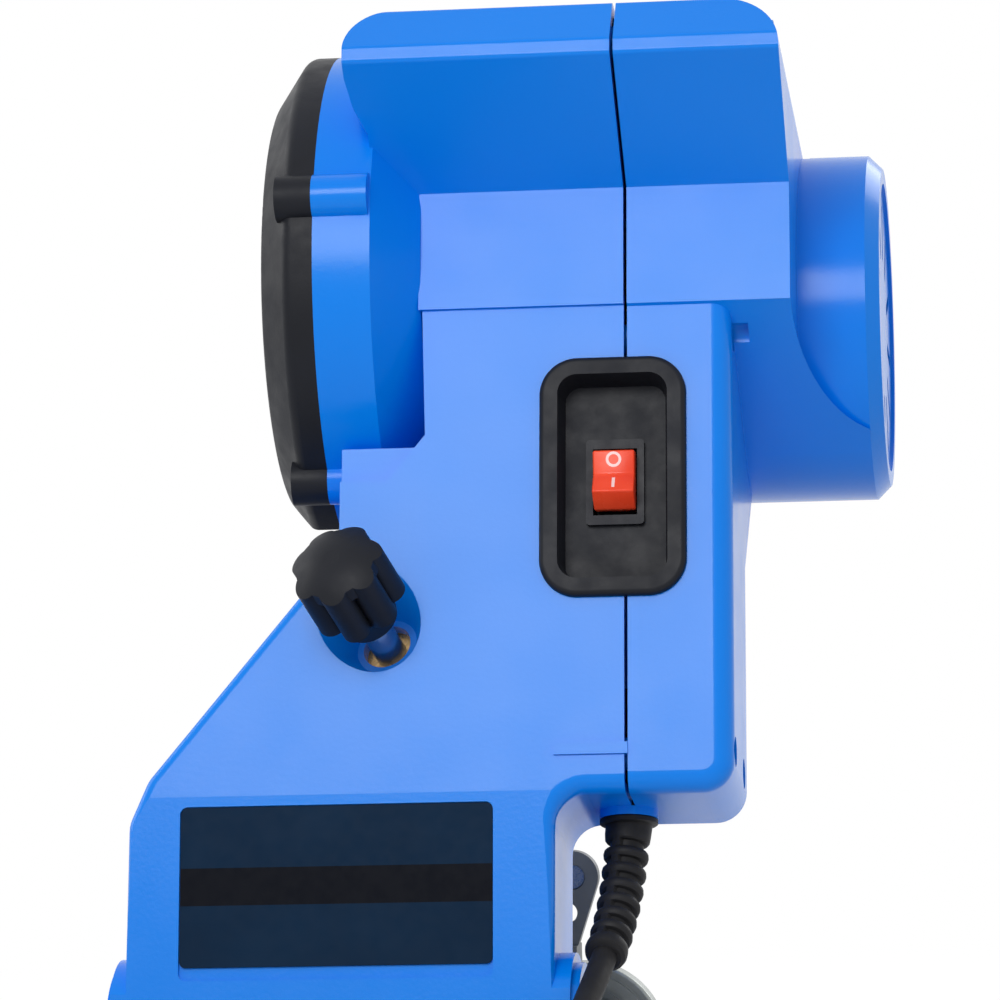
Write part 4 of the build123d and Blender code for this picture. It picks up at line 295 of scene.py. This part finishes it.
def copper():
    """Enamelled wire, turn beside turn."""
    shader = Shader("copper", (0.6, 0.22, 0.09), 0.32, 1.0)
    wires = shader.lines(420, "X", 1.5)
    shader.vary_color(wires, (0.33, 0.1, 0.04), (0.72, 0.3, 0.13), 0.1, 0.7)
    shader.bump((wires, 0.5, 0.0003))
    return shader.material


def lamination():
    """Stacked sheets: fine lines across the spindle direction."""
    shader = Shader("lamination", (0.22, 0.23, 0.25), 0.4, 1.0)
    sheets = shader.lines(320, "X")
    shader.vary_color(sheets, (0.10, 0.105, 0.115), (0.26, 0.27, 0.29), 0.2, 0.8)
    shader.bump((sheets, 0.4, 0.0002))
    return shader.material


RING_AT = rocker_point(0, -7.76, 3.6)       # middle of the printed O, on the upper finger face
RING_RADII = (1.3, 2.0)
BAR_HEIGHTS = (-4.5, -1.2)                  # the printed I, on the lower finger face
BAR_HALF_WIDTH = 0.4
ROCKER_PRINT = (0.92, 0.62, 0.60)


def rocker_red():
    """Red gloss with the printed O and I."""
    shader = Shader("rocker_red", (0.90, 0.07, 0.025), 0.25, specular=0.24)
    red = shader.ramp(shader.noise(60, 2), (0.84, 0.055, 0.018), (0.95, 0.085, 0.03))
    from_ring = shader.vector_math("DISTANCE", RING_AT, "Value")
    ring = shader.between(from_ring, *(r * MM for r in RING_RADII))
    half = BAR_HALF_WIDTH * MM
    across = shader.between(shader.along(HEAD_X, ROCKER_PIVOT), -half, half)
    upright = shader.between(shader.along(ROCKER_UP, ROCKER_PIVOT), *(h * MM for h in BAR_HEIGHTS))
    marks = shader.math("MAXIMUM", ring, shader.math("MULTIPLY", across, upright))
    shader.color(shader.mix(marks, red, ROCKER_PRINT))
    shader.vary_roughness(shader.noise(200, 3), 0.2, 0.32)
    shader.bump((shader.noise(700, 2), 0.06, 0.0001))
    return shader.material


CAPACITOR_YELLOW = (0.75, 0.48, 0.05)


def capacitor_skin():
    """Dipped lacquer."""
    shader = Shader("capacitor_yellow", CAPACITOR_YELLOW, 0.4)
    shader.vary_color(shader.noise(80, 3), tuple(c * 0.92 for c in CAPACITOR_YELLOW), CAPACITOR_YELLOW)
    shader.vary_roughness(shader.noise(500, 3), 0.35, 0.5)
    shader.bump((shader.noise(900, 2), 0.05, 0.0001))
    return shader.material


STRIPE = (32.7, 42.3)       # heights v, in mm, of the black stripe across the plate
STRIPE_BLACK = (0.003, 0.004, 0.008)


def rating_plate_film():
    """Navy film with a black stripe across it."""
    shader = Shader("plate_navy", (0.003, 0.017, 0.045), 0.4, specular=0.04)
    stripe = shader.between(shader.along(HEAD_V, HINGE), *(v * MM for v in STRIPE))
    navy = shader.ramp(shader.noise(40, 3), (0.0028, 0.016, 0.042), (0.0034, 0.019, 0.049))
    shader.color(shader.mix(stripe, navy, STRIPE_BLACK))
    shader.vary_roughness(shader.noise(300, 3), 0.34, 0.46)
    shader.bump((shader.noise(200, 2), 0.03, 0.0002))
    return shader.material


MATERIALS = {
    "housing_blue": blue_plastic(),
    "black_plastic": black_plastic(),
    "switch_black": black_plastic("switch_black", 0.012, 0.4, 2000),
    "rocker_red": rocker_red(),
    "plate_navy": rating_plate_film(),
    "dark_screw": metal("dark_screw", (0.05, 0.05, 0.055), 0.4),
    "zinc_screw": metal("zinc_screw", (0.62, 0.62, 0.6), 0.3),
    "cord_rubber": rubber(),
    "plated_pins": metal("plated_pins", (0.8, 0.8, 0.78), 0.18, (1, 20, 20)),
    "abrasive": abrasive(),
    "cast_grey": cast_paint(),
    "hand_wheel": metal("hand_wheel", (0.30, 0.32, 0.31), 0.38),
    "steel": metal("steel", (0.56, 0.57, 0.58), 0.26, (1, 18, 18)),
    "scale_plate": metal("scale_plate", (0.7, 0.7, 0.7), 0.35, (20, 1, 1)),
    "bronze": metal("bronze", (0.55, 0.36, 0.16), 0.3),
    "lamination": lamination(),
    "copper": copper(),
    "carbon": black_plastic("carbon", 0.02, 0.7, 2400),
    "capacitor_yellow": capacitor_skin(),
}
for part in frame["record"]["subparts"]:
    mesh = nodes[part["node"]].data
    mesh.materials.clear()
    mesh.materials.append(MATERIALS[part["material_slot"]])


# ------------------------------------------------------------------ mesh kit
SMOOTH_BELOW = radians(35)      # edges that fold less than this are shaded as round


def finish_mesh(bm, name):
    """The bmesh as mesh data, with its sharp edges marked and the rest smooth."""
    bmesh.ops.recalc_face_normals(bm, faces=bm.faces)
    for face in bm.faces:
        face.smooth = True
    for edge in bm.edges:
        edge.smooth = len(edge.link_faces) == 2 and edge.calc_face_angle() < SMOOTH_BELOW
    data = bpy.data.meshes.new(name)
    bm.to_mesh(data)
    bm.free()
    return data


def make(name, data, slot):
    """A mesh as an object, in the finish of a material slot."""
    obj = bpy.data.objects.new(name, data)
    scene.collection.objects.link(obj)
    data.materials.append(MATERIALS[slot])
    return obj


def rings_mesh(name, rings):
    """A skin through rings of points, closed at both ends."""
    bm = bmesh.new()
    rows = [[bm.verts.new(point) for point in ring] for ring in rings]
    count = len(rows[0])
    for low, high in zip(rows, rows[1:]):
        for index in range(count):
            after = (index + 1) % count
            bm.faces.new((low[index], low[after], high[after], high[index]))
    bm.faces.new(list(reversed(rows[0])))
    bm.faces.new(rows[-1])
    return finish_mesh(bm, name)


def frames_along(points, start_side):
    """Each point with its side and cross direction, with no twist from one to the next."""
    sideways = Vector(start_side)
    frames = []
    for index, point in enumerate(points):
        before, after = points[max(index - 1, 0)], points[min(index + 1, len(points) - 1)]
        ahead = (after - before).normalized()
        sideways = (sideways - ahead * sideways.dot(ahead)).normalized()
        frames.append((point, sideways, ahead.cross(sideways)))
    return frames


# ------------------------------------------------------------------ mains lead
CORD_DIAMETER = 0.0065                  # in metres, as the length is
CORD_ROUTE = [                          # in mm, from the sleeve down to the first turn
    (71.8, -170.4, 72.0),
    (68.2, -189.0, 60.5),
    (61.8, -200.5, 47.0),
    (52.0, -208.5, 32.0),
    (39.0, -213.5, 16.0),
    (22.0, -219.5, 6.5),
    (3.0, -224.8, 3.4),
    (-16.0, -227.25, 3.3),
]
COIL_MIDDLE = (-16.0, -270.0)
COIL_RADII = (42.4, 35.8, 29.2)         # the turns lie side by side, in two layers
FLOOR_LAYER, UPPER_LAYER = 3.3, 9.8
OUTER_TURN = (49.2, 10.6)               # radius and height where the last turn crosses the lead
TURN_POINTS = 12
SHIFT_FROM = 0.6                        # share of a turn after which it moves over to the next
OUTER_FALL = (8.8, 6.4, 4.4, 3.4, 3.3)  # the last half turn's heights, down to the floor
CORD_TAIL = [(-16.0, -319.4, 3.6), (-3.0, -317.4, 4.8), (6.0, -312.7, 6.8), (16.0, -312.4, 7.0)]
CORD_SIDES = 20
CURVE_ORDER, CURVE_STEPS = 3, 8


def coil_points():
    """Control points of the turns: in along the floor, out on top of them, and half a turn outside."""
    spread = 1 / cos(pi / TURN_POINTS)      # makes up for the curve running inside its control points

    def place(turns_done, radius, height):
        angle = pi / 2 + 2 * pi * turns_done
        reach = radius * spread
        return COIL_MIDDLE[0] + reach * cos(angle), COIL_MIDDLE[1] + reach * sin(angle), height

    turns = [(radius, FLOOR_LAYER) for radius in COIL_RADII]
    turns += [(radius, UPPER_LAYER) for radius in reversed(COIL_RADII)] + [OUTER_TURN]
    points = []
    for turn, ((radius, height), (next_radius, next_height)) in enumerate(zip(turns, turns[1:])):
        for step in range(1, TURN_POINTS + 1):
            share = step / TURN_POINTS
            shift = max(0.0, (share - SHIFT_FROM) / (1 - SHIFT_FROM))
            points.append(place(turn + share, radius + (next_radius - radius) * shift,
                                height + (next_height - height) * shift))
    for step, height in enumerate(OUTER_FALL, start=1):
        points.append(place(step / TURN_POINTS, OUTER_TURN[0], height))
    return points


def cord_line():
    """Points along the lead's own smooth curve."""
    curve = bpy.data.curves.new("lead_line", "CURVE")
    curve.dimensions = "3D"
    curve.resolution_u = CURVE_STEPS
    spline = curve.splines.new("NURBS")
    points = CORD_ROUTE + coil_points() + CORD_TAIL
    spline.points.add(len(points) - 1)
    for spot, point in zip(spline.points, points):
        spot.co = (*(c * MM for c in point), 1.0)
    spline.order_u = CURVE_ORDER
    spline.use_endpoint_u = True
    holder = bpy.data.objects.new("lead_line", curve)
    line_mesh = bpy.data.meshes.new_from_object(holder)
    line = [vertex.co.copy() for vertex in line_mesh.vertices]
    for block, store in ((holder, bpy.data.objects), (line_mesh, bpy.data.meshes), (curve, bpy.data.curves)):
        store.remove(block)
    return line


def mains_lead():
    """The lead as one tube along its smooth curve; all of it lies still."""
    line = cord_line()
    turns = [2 * pi * step / CORD_SIDES for step in range(CORD_SIDES)]
    rings = [[point + (sideways * cos(turn) + cross * sin(turn)) * CORD_DIAMETER / 2 for turn in turns]
             for point, sideways, cross in frames_along(line, HEAD_X)]
    lead = make("mains_lead", rings_mesh("mains_lead", rings), "cord_rubber")
    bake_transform(lead)
    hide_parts("mains_cord", "cord_coil")


mains_lead()

# ------------------------------------------------------------------ ribbed cord sleeve
SLEEVE_START = head(76.5, 4.0, 57.8)
SLEEVE_RADII = (6.0, 5.4)               # at its two ends, in mm
SLEEVE_LEAD = 0.022                     # in metres, length of its last, straight control leg
SLEEVE_GROOVE = 1.6                     # depth of a full groove
SLEEVE_BRIDGE = 0.45                    # how far the lengthwise bridges lie below the ribs
COLLAR_PROFILE = ((-4.0, 6.0), (0.0, 6.0), (0.02, 7.2), (0.3, 7.5), (1.3, 7.5), (1.6, 7.1), (1.7, 6.1),
                  (2.0, 6.0))           # distance below the housing and radius, in mm
NECK_SHARE = 0.1                        # share of the length where the plain neck has its last ring
TIP_PROFILE = ((0.96, 0.1), (0.985, -0.2), (1.0, -1.1))  # share of the length, change of radius there
BRIDGE_AT = (radians(28), radians(208))  # the bridges' places, counted from the near side
BRIDGE_HALF = radians(15)
RIB_COUNT = 6
RIBS_FROM, RIBS_TO = 0.175, 0.875       # shares of the length where the first and last grooves lie
GROOVE_PROFILE = ((-0.32, 0.1), (-0.22, 0.35), (-0.17, 0.97), (0.17, 0.97), (0.22, 0.35), (0.32, 0.1),
                  (0.5, 0.0))           # share of the pitch from the groove's middle, share of its depth
SLEEVE_SIDES = 48


def sleeve_stations():
    """Middle point, radius and depth of cut at each ring of the sleeve."""
    end = Vector(CORD_ROUTE[0]) * MM
    bow = end + (end - Vector(CORD_ROUTE[1]) * MM).normalized() * SLEEVE_LEAD
    top_radius, end_radius = SLEEVE_RADII

    def middle(share):
        first = SLEEVE_START.lerp(bow, share)
        return first.lerp(bow.lerp(end, share), share)

    def taper(share):
        return top_radius + (end_radius - top_radius) * share

    stations = [(SLEEVE_START - HEAD_V * down * MM, radius, 0.0) for down, radius in COLLAR_PROFILE]
    stations.append((middle(NECK_SHARE), taper(NECK_SHARE), 0.0))
    pitch = (RIBS_TO - RIBS_FROM) / RIB_COUNT
    for groove in range(RIB_COUNT + 1):
        for place, depth in GROOVE_PROFILE:
            share = RIBS_FROM + (groove + place) * pitch
            stations.append((middle(share), taper(share), depth))
    stations += [(middle(share), end_radius + over, 0.0) for share, over in TIP_PROFILE]
    return stations


def ribbed_sleeve():
    """Bend relief with ribs around it and two bridges along them."""
    stations = sleeve_stations()
    points = [point for point, _, _ in stations]
    rings = []
    for (point, sideways, cross), (_, radius, depth) in zip(frames_along(points, HEAD_X), stations):
        ring = []
        for step in range(SLEEVE_SIDES):
            turn = 2 * pi * step / SLEEVE_SIDES
            near = min(abs((turn - bridge + pi) % (2 * pi) - pi) for bridge in BRIDGE_AT)
            cut = depth * SLEEVE_GROOVE
            if near < BRIDGE_HALF:
                cut = min(cut, SLEEVE_BRIDGE)
            out = sideways * sin(turn) - cross * cos(turn)
            ring.append(point + out * (radius - cut) * MM)
        rings.append(ring)
    obj = make("cord_sleeve_ribbed", rings_mesh("cord_sleeve_ribbed", rings), "cord_rubber")
    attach(obj, "head")
    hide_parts("cord_sleeve")


ribbed_sleeve()

# ------------------------------------------------------------------ rocker
ROCKER_HALF_WIDTH = 5.4
ROCKER_END = (-2.2, 8.1)                # depth and height where a finger face's end meets the bezel
ROCKER_BACK = (2.4, 6.6)
ROCKER_ROUND, ROUND_STEPS = 0.0005, 3   # radius of its edges, in metres
ROUND_ARC = 0.5                         # bevel profile of a circle's arc


def rocker_cap():
    """Rocker with a deeper valley and higher crests than the solid one."""
    outline = [(ROCKER_VALLEY, 0.0), ROCKER_CREST, ROCKER_END, ROCKER_BACK]
    outline += [(depth, -height) for depth, height in reversed(outline[1:])]
    bm = bmesh.new()
    near, far = ([bm.verts.new(rocker_point(x, *spot)) for spot in outline]
                 for x in (-ROCKER_HALF_WIDTH, ROCKER_HALF_WIDTH))
    bm.faces.new(near)
    bm.faces.new(list(reversed(far)))
    for index in range(len(outline)):
        after = (index + 1) % len(outline)
        bm.faces.new((near[index], far[index], far[after], near[after]))
    bmesh.ops.recalc_face_normals(bm, faces=bm.faces)
    bmesh.ops.bevel(bm, geom=list(bm.edges), offset=ROCKER_ROUND, segments=ROUND_STEPS, profile=ROUND_ARC,
                    affect="EDGES")
    obj = make("rocker_cap", finish_mesh(bm, "rocker_cap"), "rocker_red")
    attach(obj, "rocker")
    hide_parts("rocker")


rocker_cap()


def return_spring():
    """The wound part stays on the hinge pin, and the leg that pushes on the head stays still with it."""
    data = nodes["return_spring"].data.copy()
    data.materials.clear()
    spring = make("torsion_spring", data, "steel")
    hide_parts("return_spring")
    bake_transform(spring)


return_spring()

# ------------------------------------------------------------------ studio
WORLD_LEVEL = 0.6
WHITE_LEVEL = 1.0
FLOOR_GREY = 0.7
FLOOR_GLOW = 0.38               # lifts the lit floor to white where it is looked at
FLOOR_HALF = 6.0
SHADOW_REACH = (0.25, 0.75)     # from the object, in metres: the shadow fades out over this stretch
MIDDLE = Vector((0.03, -0.1, 0.18))
SOFTBOXES = (                   # name, place and size in metres, watts
    ("key", (-0.15, -1.39, 0.93), (0.62, 0.52), 9.5),
    ("left", (-1.3, 0.1, 0.8), (0.8, 0.8), 5.0),
    ("back", (0.9, 1.2, 0.9), (0.9, 0.9), 8.0),
)


def seen(tree):
    """1 for camera, glossy and transmission rays."""
    paths = tree.nodes.new("ShaderNodeLightPath")
    total = paths.outputs["Is Camera Ray"]
    for name in ("Is Glossy Ray", "Is Transmission Ray"):
        largest = tree.nodes.new("ShaderNodeMath")
        largest.operation = "MAXIMUM"
        tree.links.new(total, largest.inputs[0])
        tree.links.new(paths.outputs[name], largest.inputs[1])
        total = largest.outputs[0]
    return total


def blend_shaders(tree, share, first, second):
    """The first shader where share is 0, the second where it is 1."""
    node = tree.nodes.new("ShaderNodeMixShader")
    tree.links.new(share, node.inputs["Fac"])
    tree.links.new(first.outputs[0], node.inputs[1])
    tree.links.new(second.outputs[0], node.inputs[2])
    return node


def stage_material():
    """White where it is looked at, with the object's shadow, and a plain pale floor for all other light."""
    material = bpy.data.materials.new("studio_white")
    material.use_nodes = True
    tree = material.node_tree
    tree.nodes.clear()

    def emission(strength):
        node = tree.nodes.new("ShaderNodeEmission")
        node.inputs["Strength"].default_value = strength
        return node

    floor_light = tree.nodes.new("ShaderNodeBsdfDiffuse")
    floor_light.inputs["Color"].default_value = (FLOOR_GREY, FLOOR_GREY, FLOOR_GREY, 1)
    lifted = tree.nodes.new("ShaderNodeAddShader")
    tree.links.new(floor_light.outputs[0], lifted.inputs[0])
    tree.links.new(emission(FLOOR_GLOW).outputs[0], lifted.inputs[1])
    place = tree.nodes.new("ShaderNodeNewGeometry")
    away = tree.nodes.new("ShaderNodeVectorMath")
    away.operation = "DISTANCE"
    away.inputs[1].default_value = (MIDDLE.x, MIDDLE.y, 0)
    tree.links.new(place.outputs["Position"], away.inputs[0])
    fade = tree.nodes.new("ShaderNodeMapRange")
    fade.interpolation_type = "SMOOTHSTEP"
    fade.inputs["From Min"].default_value, fade.inputs["From Max"].default_value = SHADOW_REACH
    tree.links.new(away.outputs["Value"], fade.inputs["Value"])
    looked_at = blend_shaders(tree, fade.outputs["Result"], lifted, emission(WHITE_LEVEL))
    whole = blend_shaders(tree, seen(tree), floor_light, looked_at)
    out = tree.nodes.new("ShaderNodeOutputMaterial")
    tree.links.new(whole.outputs[0], out.inputs["Surface"])
    return material


floor_data = bpy.data.meshes.new("floor")
floor_data.from_pydata([(-FLOOR_HALF, -FLOOR_HALF, 0), (FLOOR_HALF, -FLOOR_HALF, 0),
                        (FLOOR_HALF, FLOOR_HALF, 0), (-FLOOR_HALF, FLOOR_HALF, 0)], [], [(0, 1, 2, 3)])
floor = bpy.data.objects.new("floor", floor_data)
scene.collection.objects.link(floor)
floor_data.materials.append(stage_material())

world = bpy.data.worlds.new("studio")
scene.world = world
world.use_nodes = True
sky = world.node_tree.nodes["Background"]
sky.inputs["Color"].default_value = (1, 1, 1, 1)
sky.inputs["Strength"].default_value = WORLD_LEVEL
white = world.node_tree.nodes.new("ShaderNodeBackground")
white.inputs["Color"].default_value = (1, 1, 1, 1)
white.inputs["Strength"].default_value = WHITE_LEVEL
both = blend_shaders(world.node_tree, seen(world.node_tree), sky, white)
world.node_tree.links.new(both.outputs[0], world.node_tree.nodes["World Output"].inputs["Surface"])

for name, place, size, power in SOFTBOXES:
    light = bpy.data.lights.new(name, "AREA")
    light.shape = "RECTANGLE"
    light.size, light.size_y = size
    light.energy = power
    softbox = bpy.data.objects.new(name, light)
    softbox.location = place
    softbox.rotation_euler = (MIDDLE - Vector(place)).to_track_quat("-Z", "Y").to_euler()
    scene.collection.objects.link(softbox)
